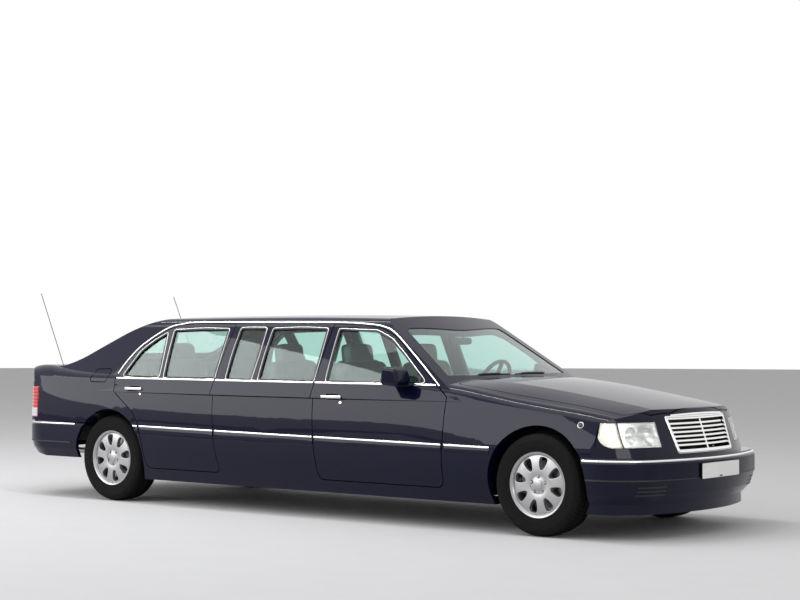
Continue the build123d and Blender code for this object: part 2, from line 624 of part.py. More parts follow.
# Fuel flap on the right-hand side, in a plane that follows the shoulder's slope
flap_outline = [(-98, -58, 22), (88, -58, 22), (100, 58, 22), (-86, 58, 22)]
flap_tilt = 32.0
flap_plane = Plane(origin=(-2070, -866, 1005), x_dir=(1, 0, 0),
                   z_dir=(0, -cos(radians(flap_tilt)), sin(radians(flap_tilt))))
flap_depth, recess_depth, cup_depth = 20.0, 27.0, 38.0
buffer_radius = 5.0
flap_buffer = flap_plane * Pos(-72, 0, -recess_depth - 2) * extrude(
    Circle(buffer_radius), amount=recess_depth + 2 - flap_depth - running_gap)


def flap_prism(grow, low, high):
    """The flap's outline pushed along its plane's normal."""
    def place(a, b):
        return tuple(flap_plane.from_local_coords(Vector(a, b, low)))
    face = outline_face(grown(flap_outline, grow), place)
    return extrude(face, amount=high - low, dir=tuple(flap_plane.z_dir))


write("fuel_flap", both(outer, flap_prism(0.001, -flap_depth, 90.0)))
left_frame = frame
frame = cut(join(frame, both(outer, flap_prism(door_gap + 8.0, -cup_depth, -5.0))),
            flap_prism(door_gap, -recess_depth, 90.0))
frame = join(frame, flap_buffer)
write("side_frames", [frame, side(left_frame, 1)])
panes = [both(glass_layer, prism(window, "y", -1050.0, -500.0)) for window in mid_windows]
write("side_windows", [side(pane, s) for pane in panes for s in (-1, 1)])

# Bumpers: bands that follow the plan of the nose and tail
front_bumper_plan = [(3106.5, 0.0), (3078.0, 380.0), (3012.0, 640.0), (2905.0, 835.0), (2640.0, 938.0)]
front_bumper_levels = [(240.0, 70.0), (300.0, 26.0), (400.0, 0.0), (505.0, 0.0), (bumper_front_top, 22.0)]
rear_bumper_plan = [(-3106.5, 0.0), (-3092.0, 400.0), (-3052.0, 660.0), (-2965.0, 830.0), (-2700.0, 938.0)]
rear_bumper_levels = [(330.0, 50.0), (400.0, 14.0), (470.0, 0.0), (590.0, 0.0), (bumper_rear_top, 22.0)]


def band_wire(points, inset, z, back):
    """A closed plan wire: the curved end, two straight sides and a straight back."""
    sign = 1.0 if points[0][0] > 0 else -1.0
    p = [(x - sign * inset, max(y - inset * y / 940.0, 0.0)) for x, y in points]
    left = [Vector(x, y, z) for x, y in p]
    right_side = [Vector(x, -y, z) for x, y in p]
    return Wire([ThreePointArc(left[2], left[0], right_side[2]),
                 ThreePointArc(right_side[2], right_side[3], right_side[4]),
                 Line(right_side[4], (back, right_side[4].Y, z)),
                 Line((back, right_side[4].Y, z), (back, left[4].Y, z)),
                 Line((back, left[4].Y, z), left[4]), ThreePointArc(left[4], left[3], left[2])])


def bumper(points, levels, back, wall, shelf):
    """A hollow bumper shell, open at the bottom and the back."""
    form = Solid.make_loft([band_wire(points, i, z, back) for z, i in levels], True)
    lowest, top = levels[0][0], levels[-1][0]
    widest = max(i for _, i in levels)
    core = Solid.make_loft([band_wire(points, i + wall, z, back * 0.9)
                            for z, i in [(lowest - 1, widest)] + levels[1:-1]], True)
    centre = extrude(make_face(band_wire(points, shelf, lowest - 50, back * 0.9)), amount=top - lowest + 200,
                     dir=(0, 0, 1))
    return cut(form, core, centre)


def wheel_cut(x):
    """The wheel well's cylinder right across the car."""
    return rod((x, -1300, tyre_radius), (x, 1300, tyre_radius), arch_radius)


bumper_wall = 30.0
bumper_shelf = 190.0
front_band = bumper(front_bumper_plan, front_bumper_levels, front_axle_x, bumper_wall, bumper_shelf)
front_lip = cut(extrude(make_face(band_wire(front_bumper_plan, 76.0, 168.0, 2450.0)), amount=72.0,
                        dir=(0, 0, 1)),
                extrude(make_face(band_wire(front_bumper_plan, 96.0, 160.0, 2400.0)), amount=90.0,
                        dir=(0, 0, 1)))
plate_length, plate_height, plate_thickness = 520.0, 110.0, 4.0
plate_z = 440.0
plate_seat = block(front_end - plate_thickness - 2, front_end + 50,
                   -plate_length / 2 - 3, plate_length / 2 + 3,
                   plate_z - plate_height / 2 - 3, plate_z + plate_height / 2 + 3)
write("front_bumper", cut(join(front_band, front_lip), wheel_cut(front_axle_x), plate_seat))
rear_band = bumper(rear_bumper_plan, rear_bumper_levels, rear_axle_x, bumper_wall, bumper_shelf)
sweep_up = extrude(make_face(Wire.make_polygon([(-2200, -1300, 200), (-2200, -1300, 262),
                                                 (-3200, -1300, 395), (-3200, -1300, 200)])),
                   amount=2600, dir=(0, 1, 0))
write("rear_bumper", cut(rear_band, wheel_cut(rear_axle_x), sweep_up))

# Wheels. The rim, tyre and knuckle are drawn for the right side with the outer face to -Y
hole_near, hole_far = 107.0, 190.0
hole_near_half, hole_far_half = 21.0, 40.0
hole_corner = 19.0
first_hole = 76.0
barrel_wall = 12.0
spindle_bore = 26.3
disc_face = 26.0


def rim(x, y):
    """A deep barrel, a disc with rounded openings, a hub with bolts and a plain cap."""
    outside, inside = y - rim_width / 2, y + rim_width / 2
    ring = drum(x, outside, inside, tyre_radius, rim_radius - 10.0, rim_radius - 10.0 - barrel_wall)
    lips = [drum(x, a, a + 10.0, tyre_radius, rim_radius, rim_radius - 10.0 - barrel_wall)
            for a in (outside, inside - 10.0)]
    face = outside + 22.0
    disc = drum(x, face, face + disc_face, tyre_radius, rim_radius - 12.0)
    for i in range(hole_count):
        a = radians(first_hole) + 2 * pi * i / hole_count
        corners = [(x + u * cos(a) - v * sin(a), tyre_radius + u * sin(a) + v * cos(a), hole_corner)
                   for u, v in ((hole_near, -hole_near_half), (hole_far, -hole_far_half),
                                (hole_far, hole_far_half), (hole_near, hole_near_half))]
        disc = cut(disc, prism(corners, "y", face - 9, face + disc_face + 9))
    hub = drum(x, face - 6.0, face + 60.0, tyre_radius, 78.0)
    cap = drum(x, face - 12.0, face, tyre_radius, 34.0)
    bolts = []
    for i in range(lug_count):
        a = 2 * pi * (i + 0.25) / lug_count
        bx, bz = x + lug_circle / 2 * cos(a), tyre_radius + lug_circle / 2 * sin(a)
        bolts.append(rod((bx, face - 14.0, bz), (bx, face + 5, bz), 9.0))
    brake = drum(x, face + 60.0, face + 60.0 + disc_thickness, tyre_radius, disc_radius, 30.0)
    bore = drum(x, face + 20.0, face + 200.0, tyre_radius, spindle_bore)
    return cut(join(ring, *lips, disc, hub, cap, *bolts, brake), bore)


def tyre(x, y):
    """A tyre with rounded shoulders, sitting on the barrel."""
    a, b = y - tyre_width / 2, y + tyre_width / 2
    r = 38.0
    outer_ring = drum(x, a, b, tyre_radius, tyre_radius)
    edges = [e for e in outer_ring.edges() if e.geom_type == GeomType.CIRCLE]
    outer_ring = fillet(edges, r)
    inner_low, inner_high = rim_radius, rim_radius - 10.0
    centre = drum(x, a - 1, b + 1, tyre_radius, inner_low)
    ring = cut(outer_ring, centre)
    seat = drum(x, y - rim_width / 2 + 10.0, y + rim_width / 2 - 10.0, tyre_radius, inner_low + 1, inner_high)
    return join(ring, seat)


front_wheel_y, rear_wheel_y = -front_track / 2, -rear_track / 2
for word, x, y in (("front", front_axle_x, front_wheel_y), ("rear", rear_axle_x, rear_wheel_y)):
    a_rim, a_tyre = rim(x, y), tyre(x, y)
    for hand, s in (("right", -1), ("left", 1)):
        write(f"rim_{word}_{hand}", side(a_rim, s))
        write(f"tyre_{word}_{hand}", side(a_tyre, s))

# Front knuckles turn about upright kingpins. The arms stop short of them by a clear gap
hub_z = tyre_radius
spindle_radius = 26.0
pin_radius = 14.0
knuckle_y = -kingpin_y
spindle_end = front_wheel_y - rim_width / 2 + 22.0 + 24.0
knuckle = join(rod((front_axle_x, knuckle_y, hub_z - 112), (front_axle_x, knuckle_y, hub_z + 112), 24.0),
               rod((front_axle_x, knuckle_y - 8, hub_z), (front_axle_x, knuckle_y + 40, hub_z), 62.0),
               rod((front_axle_x, spindle_end, hub_z), (front_axle_x, knuckle_y, hub_z), spindle_radius),
               rod((front_axle_x, knuckle_y, hub_z - 134), (front_axle_x, knuckle_y, hub_z + 134), pin_radius),
               block(front_axle_x - 150, front_axle_x, knuckle_y + 8, knuckle_y + 30, hub_z - 24, hub_z + 24),
               block(front_axle_x - 176, front_axle_x - 110, knuckle_y - 14, knuckle_y + 30,
                     hub_z - 60, hub_z + 60))
for hand, s in (("right", -1), ("left", 1)):
    write(f"knuckle_{hand}", side(knuckle, s))

arm_reach = kingpin_y + 30.0
arm_gap = 120.0
front_parts = [block(front_axle_x - 90, front_axle_x + 90, -330, 330, 185, 270)]
for s in (-1, 1):
    for z in (hub_z - arm_gap - 24, hub_z + arm_gap):
        low, high = sorted((s * 300, s * arm_reach))
        front_parts.append(block(front_axle_x - 38, front_axle_x + 38, low, high, z, z + 24))
    low, high = sorted((s * 300, s * 400))
    front_parts.append(block(front_axle_x - 60, front_axle_x + 60, low, high, 205, 620))
pin_bores = [rod((front_axle_x, s * kingpin_y, 100), (front_axle_x, s * kingpin_y, 600),
                 pin_radius + running_gap) for s in (-1, 1)]
front_parts += [block(front_axle_x - 80, front_axle_x + 3, s * 200 - 30, s * 200 + 30, 268, 300)
                for s in (-1, 1)]
write("front_axle", cut(join(*front_parts), *pin_bores))
rear_spindle = -(rear_wheel_y - rim_width / 2 + 22.0 + 24.0)
final_drive = rod((rear_axle_x, -120, hub_z), (rear_axle_x, 120, hub_z), 100.0)
rear_parts = [rod((rear_axle_x, -rear_spindle, hub_z), (rear_axle_x, rear_spindle, hub_z), spindle_radius),
              final_drive,
              block(rear_axle_x - 90, rear_axle_x + 90, -420, 420, 395, 440)]
for s in (-1, 1):
    for z in (hub_z - arm_gap - 24, hub_z + arm_gap - 48):
        low, high = sorted((s * 330, s * 690))
        rear_parts.append(block(rear_axle_x - 45, rear_axle_x + 45, low, high, z, z + 24))
    low, high = sorted((s * 320, s * 360))
    rear_parts.append(block(rear_axle_x - 60, rear_axle_x + 60, low, high, 205, 440))
    low, high = sorted((s * 655, s * 690))
    rear_parts.append(block(rear_axle_x - 60, rear_axle_x + 60, low, high, hub_z - arm_gap - 24,
                            hub_z + arm_gap - 24))
write("rear_axle", join(*rear_parts))

# Engine, gearbox, propeller shaft and exhaust
engine = rounded_block(1560, 2230, -230, 230, 300, 800, 30)
gearbox = rod((1570, 0, 330), (1120, 0, 315), 66.0)
shaft = rod((1150, 0, 316), (rear_axle_x + 80, 0, hub_z - 4), 28.0)
write("powertrain", cut(join(engine, gearbox, shaft), final_drive))
pipes = []
for s in (-1, 1):
    line = pipe([(1500, s * 78, 238), (-1440, s * 78, 238), (-1560, s * 78, 166), (-1700, s * 250, 166),
                 (-2330, s * 300, 215)], 22.0)
    can = rounded_block(-2760, -2320, min(s * 210, s * 390), max(s * 210, s * 390), 270, 400, 24)
    tip = rod((-2750, s * 300, 335), (-3020, s * 300, 335), 24.0)
    link = rod((-2330, s * 300, 215), (-2400, s * 300, 300), 22.0)
    hangers = [block(x - 15, x + 15, min(s * 95, s * 110), max(s * 95, s * 110), 226, 250)
               for x in (1200, 0, -1200)]
    hangers.append(block(-2560, -2520, min(s * 285, s * 315), max(s * 285, s * 315), 395, 448))
    pipes.append(join(line, link, can, tip, *hangers))
write("exhaust", pipes)

# Interior
seat_rows = ((430.0, 400.0, 520.0), (-273.0, 400.0, 520.0), (-1496.0, 368.0, 440.0))
seats = []
for x, y, width in seat_rows:
    for s in (-1, 1):
        c = s * y
        base = rounded_block(x - 60, x + 480, c - width / 2, c + width / 2, floor_top, 560, 40)
        back = Pos(x - 30, c, 560) * Rot(0, -12, 0) * Pos(0, 0, 260) * Box(130, width, 620)
        back = fillet(back.edges(), 40)
        head = Pos(x - 160, c, 1180) * Rot(0, -8, 0) * Box(100, 260, 170)
        head = fillet(head.edges(), 36)
        post = rod((x - 148, c, 1050), (x - 160, c, 1150), 16.0)
        seats.append(join(base, back, head, post))
write("seats", seats)
dash_half = 780.0
dash = block(1045, cabin_front, -dash_half, dash_half, 700, shelf_top - 1.0)
dash = fillet(dash.edges().filter_by(Axis.Y), 40)
wheel_centre = (950.0, 385.0, 965.0)
wheel_tilt = 25.0
column = Vector(cos(radians(wheel_tilt)), 0, -sin(radians(wheel_tilt)))
centre = Vector(*wheel_centre)
shroud = cut(rod(tuple(centre + column * 62), tuple(centre + column * 240), 48.0),
             rod(tuple(centre + column * 50), tuple(centre + column * 150), 12.0 + running_gap))
column_bore = rod(tuple(centre), tuple(centre + column * 150), 12.0 + running_gap)
write("dashboard", cut(join(dash, shroud), column_bore))
plane = Plane(origin=centre, z_dir=column)
wheel_ring_radius, wheel_grip = 190.0, 15.0
ring = plane * Torus(wheel_ring_radius, wheel_grip)
hub = plane * Pos(0, 0, 22) * Cylinder(62, 60)
spokes = [plane * Rot(0, 0, a) * Pos(wheel_ring_radius / 2, 0, 8) * Box(wheel_ring_radius, 34, 16)
          for a in (0, 90, 180)]
stub = rod(tuple(centre + column * 40), tuple(centre + column * 140), 12.0)
write("steering_wheel", join(ring, hub, stub, *spokes))

# Door mirrors
mirror_outline = [(972, 990, 26), (1120, 976, 40), (1147, 1010, 30), (1118, 1104, 44), (990, 1118, 26)]
mirror_inner_y, mirror_outer_y = 893.0, 1031.0
mirror_box = prism(mirror_outline, "y", -mirror_outer_y, -mirror_inner_y)
mirror_box = fillet(mirror_box.faces().sort_by(Axis.Y)[0].edges(), 24)
mirror_recess = prism([(-1014, 998, 22), (-1014, 1096, 22), (-906, 1096, 22), (-906, 998, 22)],
                      "x", 960, 996)
foot = block(1060, 1160, -930, -858, 975, 1010)
for hand, s in (("right", -1), ("left", 1)):
    write(f"mirror_{hand}", side(cut(join(mirror_box, foot), mirror_recess, outer), s))

# Antennas
mast = rod((-2609, -781, 1040), (-2916, -781, 1684), 3.0)
write("antennas", [side(cut(mast, outer), s) for s in (-1, 1)])
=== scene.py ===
import json
import math

import bmesh
import bpy
import numpy as np
from mathutils import Matrix, Vector


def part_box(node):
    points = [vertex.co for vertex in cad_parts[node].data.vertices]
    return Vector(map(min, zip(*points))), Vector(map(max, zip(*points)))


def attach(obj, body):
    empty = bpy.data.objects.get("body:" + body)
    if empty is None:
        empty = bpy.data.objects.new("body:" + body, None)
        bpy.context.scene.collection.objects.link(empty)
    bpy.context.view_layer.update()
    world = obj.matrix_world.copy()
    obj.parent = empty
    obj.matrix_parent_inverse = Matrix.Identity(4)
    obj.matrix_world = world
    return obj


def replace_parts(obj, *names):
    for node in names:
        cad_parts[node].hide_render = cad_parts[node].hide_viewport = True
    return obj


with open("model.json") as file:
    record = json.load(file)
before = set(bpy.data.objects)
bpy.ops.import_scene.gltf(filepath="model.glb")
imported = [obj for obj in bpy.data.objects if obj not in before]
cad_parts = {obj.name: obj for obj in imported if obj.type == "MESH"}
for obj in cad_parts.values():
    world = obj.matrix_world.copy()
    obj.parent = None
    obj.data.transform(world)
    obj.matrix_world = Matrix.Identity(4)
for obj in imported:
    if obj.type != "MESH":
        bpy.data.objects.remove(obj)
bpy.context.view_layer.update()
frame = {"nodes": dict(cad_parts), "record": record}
hands = {"right": -1, "left": 1}  # the sign of Y on each side of the car
bodyOf = {node: body for body, nodes in frame["record"]["behaviour"]["bodies"].items() for node in nodes}


# Meshes: every new surface is a grid of points, worked out as whole arrays


def addMesh(name, points, faces, material, body, smooth=True, sharp=None):
    # A piece at the origin from an (n, 3) array of points and lists of faces, riding on a body
    mesh = bpy.data.meshes.new(name)
    mesh.from_pydata(np.asarray(points, float).reshape(-1, 3).tolist(), [],
                     [list(map(int, face)) for part in faces for face in part])
    mesh.polygons.foreach_set("use_smooth", [smooth] * len(mesh.polygons))
    if sharp:
        mesh.set_sharp_from_angle(angle=math.radians(sharp))
    mesh.materials.append(material)
    piece = bpy.data.objects.new(name, mesh)
    bpy.context.collection.objects.link(piece)
    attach(piece, body)
    return piece


def tidyNormals(piece, sharp=None):
    # Doubles merged and all faces turned outwards
    work = bmesh.new()
    work.from_mesh(piece.data)
    bmesh.ops.remove_doubles(work, verts=work.verts, dist=1e-6)
    bmesh.ops.dissolve_degenerate(work, edges=work.edges, dist=1e-7)
    bmesh.ops.recalc_face_normals(work, faces=work.faces)
    work.to_mesh(piece.data)
    work.free()
    if sharp:
        piece.data.set_sharp_from_angle(angle=math.radians(sharp))
    return piece


def gridFaces(rows, columns, roundRows=False, roundColumns=False, start=0, flip=False):
    # Quads between neighbours of a grid whose point number is row * columns + column
    r = np.arange(rows if roundRows else rows - 1)
    c = np.arange(columns if roundColumns else columns - 1)
    r, c = np.meshgrid(r, c, indexing="ij")
    nextR, nextC = (r + 1) % rows, (c + 1) % columns
    quads = np.stack([r * columns + c, nextR * columns + c, nextR * columns + nextC, r * columns + nextC], -1)
    quads = quads.reshape(-1, 4) + start
    return quads[:, ::-1] if flip else quads


def unit(vectors):
    # Each vector divided by its length
    return vectors / np.maximum(np.linalg.norm(vectors, axis=-1, keepdims=True), 1e-12)


def circle(count):
    # Even angles round a full turn, the last one short of it
    return np.linspace(0, 2 * math.pi, count, endpoint=False)


def smoothPath(points, count):
    # A Catmull-Rom curve through the points: in each span a cubic whose slopes are half the neighbours' difference
    p = np.asarray(points, float)
    s = np.linspace(0, len(p) - 1, count)
    i = np.minimum(s.astype(int), len(p) - 2)
    t = (s - i)[:, None]
    a, b, c, d = (p[np.clip(i + k, 0, len(p) - 1)] for k in (-1, 0, 1, 2))
    return b + 0.5 * t * (c - a + t * (2 * a - 5 * b + 4 * c - d + t * (3 * (b - c) + d - a)))


def resample(path, step, closed=False):
    # Points at an even arc length: each coordinate interpolated over the running sum of the chord lengths
    p = np.vstack([path, path[:1]]) if closed else np.asarray(path, float)
    run = np.concatenate([[0], np.cumsum(np.linalg.norm(np.diff(p, axis=0), axis=1))])
    count = max(int(run[-1] / step), 2)
    s = np.linspace(0, run[-1], count, endpoint=not closed)
    return np.stack([np.interp(s, run, p[:, k]) for k in range(p.shape[1])], 1)


def roundedLoop(corners, step):
    # A closed polygon with each corner (a, b, radius) replaced by an arc's chord points, evenly spaced
    p = np.asarray(corners, float)
    before, after = unit(np.roll(p[:, :2], 1, 0) - p[:, :2]), unit(np.roll(p[:, :2], -1, 0) - p[:, :2])
    half = np.arccos(np.clip((before * after).sum(1), -1, 1)) / 2
    reach = p[:, 2] / np.tan(half)
    t = np.linspace(0, 1, 9)[None, :, None]
    start, end = p[:, :2] + before * reach[:, None], p[:, :2] + after * reach[:, None]
    bend = (1 - t) ** 2 * start[:, None] + 2 * t * (1 - t) * p[:, None, :2] + t * t * end[:, None]
    return resample(bend.reshape(-1, 2), step, closed=True)


def squareCorners(a, b, width, height, radius):
    # Four corners of a rectangle about (a, b)
    w, h = width / 2, height / 2
    return [(a - w, b - h, radius), (a + w, b - h, radius), (a + w, b + h, radius), (a - w, b + h, radius)]


def sweep(name, path, outward, profile, material, body, closed=False):
    # A profile (across, out) carried along a path: path + across * (tangent x outward) + out * outward
    path, outward, profile = np.asarray(path), unit(np.asarray(outward)), np.asarray(profile)
    if closed:
        tangent = unit(np.roll(path, -1, 0) - np.roll(path, 1, 0))
    else:
        tangent = unit(np.gradient(path, axis=0))
    across = unit(np.cross(tangent, outward))
    out = unit(np.cross(across, tangent))
    points = path[:, None] + profile[None, :, :1] * across[:, None] + profile[None, :, 1:] * out[:, None]
    rows, columns = points.shape[:2]
    faces = [gridFaces(rows, columns, closed, True)]
    if not closed:
        faces += [[list(range(columns))], [list(range(rows * columns - 1, (rows - 1) * columns - 1, -1))]]
    return addMesh(name, points, faces, material, body, sharp=40)


def halfRound(width, height, sink=0.0015):
    # A profile of half an ellipse, with its straight side sunk below the surface
    a = np.linspace(0, math.pi, 9)
    arc = np.stack([width / 2 * np.cos(a), height * np.sin(a)], 1)
    return np.vstack([[width / 2, -sink], arc, [-width / 2, -sink]])


def flatBar(width, height, sink):
    # A profile of a rectangle, its foot sunk below the surface
    return [(width / 2, -sink), (width / 2, height), (-width / 2, height), (-width / 2, -sink)]


def roundBar(radius):
    # A profile of a circle about the path
    a = circle(12)
    return radius * np.stack([np.cos(a), np.sin(a)], 1)


def lathe(name, profile, centre, material, body, turns=96):
    # A profile of (radius, y) turned about an axis along Y: (r cos a, y, r sin a)
    profile = np.asarray(profile, float)
    a = circle(turns)[:, None]
    points = np.stack([profile[:, 0] * np.cos(a), profile[:, 1] + 0 * a, profile[:, 0] * np.sin(a)], -1)
    faces = [gridFaces(turns, len(profile), True, True)]
    return tidyNormals(addMesh(name, points + np.asarray(centre), faces, material, body, sharp=35))


def cushionBox(name, centre, size, power, material, body, slotName, turn=None, grid=(48, 32), swell=0.0,
               channels=0):
    # A superellipsoid: half size times signed powers of the cosines and sines of two angles. Channels are pleats
    # in its top, swell times a cube of a wave's distance from its crest
    u = np.linspace(-math.pi / 2, math.pi / 2, grid[1])[:, None]
    v = circle(grid[0])[None]
    signedPower = lambda w, e: np.sign(w) * np.abs(w) ** e
    x = signedPower(np.cos(u), power[0]) * signedPower(np.cos(v), power[1])
    y = signedPower(np.cos(u), power[0]) * signedPower(np.sin(v), power[1])
    z = signedPower(np.sin(u), power[0]) + 0 * v
    points = np.stack([x, y, z], -1) * np.asarray(size) / 2
    if channels:
        wave = np.abs(np.sin(points[..., 1] / size[1] * math.pi * channels))
        points[..., 2] += np.where(z > 0, -swell * (1 - wave) ** 3, 0)
    if turn is not None:
        points = points @ np.asarray(turn).T
    faces = [gridFaces(grid[1], grid[0], False, True)]
    return tidyNormals(addMesh(name, points + np.asarray(centre), faces, material, body))


def layered(name, front, back, material, sharp=35):
    # A closed sheet from two grids of points, joined round their border
    rows, columns = front.shape[:2]
    count = rows * columns
    edge = np.concatenate([np.arange(columns), np.arange(2 * columns - 1, count, columns),
                           np.arange(count - 2, count - columns - 1, -1),
                           np.arange(count - 2 * columns, 0, -columns)])
    rim = np.stack([edge, np.roll(edge, -1), np.roll(edge, -1) + count, edge + count], -1)
    piece = addMesh(name, np.concatenate([front.reshape(-1, 3), back.reshape(-1, 3)]),
                    [gridFaces(rows, columns), gridFaces(rows, columns, start=count, flip=True), rim], material,
                    "body")
    return tidyNormals(piece, sharp)


def turnY(degrees):
    # Rotation about Y: positive leans the top towards +X
    c, s = math.cos(math.radians(degrees)), math.sin(math.radians(degrees))
    return np.array([[c, 0, s], [0, 1, 0], [-s, 0, c]])


def trianglesOf(names):
    # The triangles of some CAD nodes, and which node each is from
    found, owner = [], []
    for k, name in enumerate(names):
        mesh = frame["nodes"][name].data
        mesh.calc_loop_triangles()
        points = np.empty(len(mesh.vertices) * 3)
        mesh.vertices.foreach_get("co", points)
        corners = np.empty(len(mesh.loop_triangles) * 3, dtype=np.int32)
        mesh.loop_triangles.foreach_get("vertices", corners)
        found.append(points.reshape(-1, 3)[corners.reshape(-1, 3)])
        owner.append(np.full(len(found[-1]), k))
    return np.concatenate(found), np.concatenate(owner)


def landOn(names, starts, heading):
    # Where parallel rays first meet the nodes, their normals there and which node it is, or -1. Seen along the
    # heading a hit is a point inside a triangle, its three edge weights positive, and its depth is the weighted
    # mean of the corners' depths
    starts, heading = np.asarray(starts, float), unit(np.asarray(heading, float))
    triangles, owner = trianglesOf(names)
    normals = np.cross(triangles[:, 1] - triangles[:, 0], triangles[:, 2] - triangles[:, 0])
    facing = normals @ heading < 0
    side = unit(np.cross(heading, [0.3, 0.2, 0.93]))
    basis = np.stack([side, np.cross(heading, side)], 1)
    flat, depth, seen = triangles @ basis, triangles @ heading, starts @ basis
    keep = facing & (flat.max(1) >= seen.min(0)).all(1) & (flat.min(1) <= seen.max(0)).all(1)
    flat, depth, normals, owner = flat[keep], depth[keep], unit(normals[keep]), owner[keep]
    one, two = flat[:, 1] - flat[:, 0], flat[:, 2] - flat[:, 0]
    area = one[:, 0] * two[:, 1] - one[:, 1] * two[:, 0]
    area = np.where(np.abs(area) < 1e-14, np.nan, area)
    points, outward, who = [], [], []
    for part in np.array_split(np.arange(len(starts)), max(1, len(starts) * len(flat) // 4000000 + 1)):
        away = seen[part, None] - flat[None, :, 0]
        u = (away[..., 0] * two[:, 1] - away[..., 1] * two[:, 0]) / area
        v = (one[:, 0] * away[..., 1] - one[:, 1] * away[..., 0]) / area
        reach = depth[:, 0] + u * (depth[:, 1] - depth[:, 0]) + v * (depth[:, 2] - depth[:, 0])
        inside = (u >= -1e-5) & (v >= -1e-5) & (u + v <= 1 + 1e-5)
        reach = np.where(inside, reach, np.inf)
        best = reach.argmin(1)
        nearest = reach[np.arange(len(part)), best]
        met, start = np.isfinite(nearest), starts[part]
        points.append(start + (np.where(met, nearest, 0) - start @ heading)[:, None] * heading)
        outward.append(normals[best])
        who.append(np.where(met, owner[best], -1))
    return np.concatenate(points), np.concatenate(outward), np.concatenate(who)


def evened(vectors, width):
    # Directions averaged with their neighbours along a path, so that a strip doesn't follow single facets
    if len(vectors) < width:
        return unit(np.broadcast_to(vectors.mean(0), vectors.shape))
    kernel = np.ones(width) / width
    padded = np.pad(vectors, ((width // 2, width - 1 - width // 2), (0, 0)), mode="edge")
    return unit(np.stack([np.convolve(padded[:, k], kernel, "valid") for k in range(3)], 1))


def runsOf(who):
    # First and last place of each stretch of a path on one node
    breaks = np.flatnonzero(np.diff(who)) + 1
    return [(part[0], part[-1]) for part in np.split(np.arange(len(who)), breaks) if who[part[0]] >= 0]


def stripAlong(name, names, starts, heading, profile, material, trim=0.002, evenness=15, closed=False):
    # A strip laid on whatever panels lie under a path, cut at each shut line and riding on each panel's body
    points, outward, who = landOn(names, starts, heading)
    if closed:
        good = who >= 0
        sweep(name, points[good], evened(outward, evenness)[good], profile, material,
              bodyOf[names[who[good][0]]], closed=True)
        return
    for k, (first, last) in enumerate(runsOf(who)):
        path = points[first:last + 1]
        gone = np.concatenate([[0], np.cumsum(np.linalg.norm(np.diff(path, axis=0), axis=1))])
        keep = (gone >= trim) & (gone <= gone[-1] - trim)
        if keep.sum() >= 4:
            sweep(f"{name}_{k}", path[keep], evened(outward[first:last + 1], evenness)[keep], profile, material,
                  bodyOf[names[who[first]]])


def ringsOn(names, start, heading, radii, heights, sides):
    # Rings of points round the spot where a ray lands: spot + r (cos a, sin a) across the surface + h outwards
    spot, out, _ = landOn(names, np.array([start]), heading)
    one = unit(np.cross(out[0], [0, 0, 1.0]))
    two = np.cross(out[0], one)
    a = circle(sides)[None]
    r, h = np.array(radii)[:, None], np.array(heights)[:, None]
    across = (r * np.cos(a))[..., None] * one + (r * np.sin(a))[..., None] * two
    return spot[0] + across + (h + 0 * a)[..., None] * out[0]


# Finishes: each is a Principled shader with procedural variation in colour, roughness and relief


def newMaterial(name):
    # A node material, with its nodes, links, shader and the object's own coordinates
    material = bpy.data.materials.new(name)
    material.use_nodes = True
    nodes, links = material.node_tree.nodes, material.node_tree.links
    return material, nodes, links, nodes["Principled BSDF"], nodes.new("ShaderNodeTexCoord").outputs["Object"]


def finishMaterial(name, colour, roughness, metallic=0.0, tint=0.08, tintScale=6.0, roughSpread=0.05,
                   roughScale=40.0, relief=0.0, reliefScale=400.0, texture="noise", stretch=(1, 1, 1), **sockets):
    # Colour times 1 +- tint by a slow noise, roughness +- roughSpread by a finer one, and a bump by a third
    material, nodes, links, shader, place = newMaterial(name)
    shader.inputs["Metallic"].default_value = metallic
    for key, value in sockets.items():
        shader.inputs[key.replace("_", " ")].default_value = value
    stretched = nodes.new("ShaderNodeMapping")
    stretched.inputs["Scale"].default_value = stretch
    links.new(place, stretched.inputs["Vector"])

    def pattern(kind, scale):
        node = nodes.new("ShaderNodeTexVoronoi" if kind == "voronoi" else "ShaderNodeTexNoise")
        node.inputs["Scale"].default_value = scale
        if kind == "noise":
            node.inputs["Detail"].default_value = 3.0
        links.new(stretched.outputs["Vector"], node.inputs["Vector"])
        return node.outputs["Distance" if kind == "voronoi" else "Fac"]

    def between(socket, low, high):
        # The middle half of a noise's range spread from low to high
        node = nodes.new("ShaderNodeMapRange")
        for key, value in (("From Min", 0.25), ("From Max", 0.75), ("To Min", low), ("To Max", high)):
            node.inputs[key].default_value = value
        links.new(socket, node.inputs["Value"])
        return node.outputs["Result"]

    mix = nodes.new("ShaderNodeMix")
    mix.data_type = "RGBA"
    darker, paler, mixed = mix.inputs[6], mix.inputs[7], mix.outputs[2]  # the node's sockets for colours
    darker.default_value = (*(c * (1 - tint) for c in colour), 1)
    paler.default_value = (*(min(c * (1 + tint), 1) for c in colour), 1)
    links.new(between(pattern("noise", tintScale), 0, 1), mix.inputs["Factor"])
    links.new(mixed, shader.inputs["Base Color"])
    links.new(between(pattern("noise", roughScale), max(roughness - roughSpread, 0.0), roughness + roughSpread),
              shader.inputs["Roughness"])
    if relief:
        bump = nodes.new("ShaderNodeBump")
        bump.inputs["Distance"].default_value = relief
        links.new(pattern(texture, reliefScale), bump.inputs["Height"])
        links.new(bump.outputs["Normal"], shader.inputs["Normal"])
    return material


glassStyle = {"ior": 1.45, "smear": 0.02, "smearScale": 9.0}


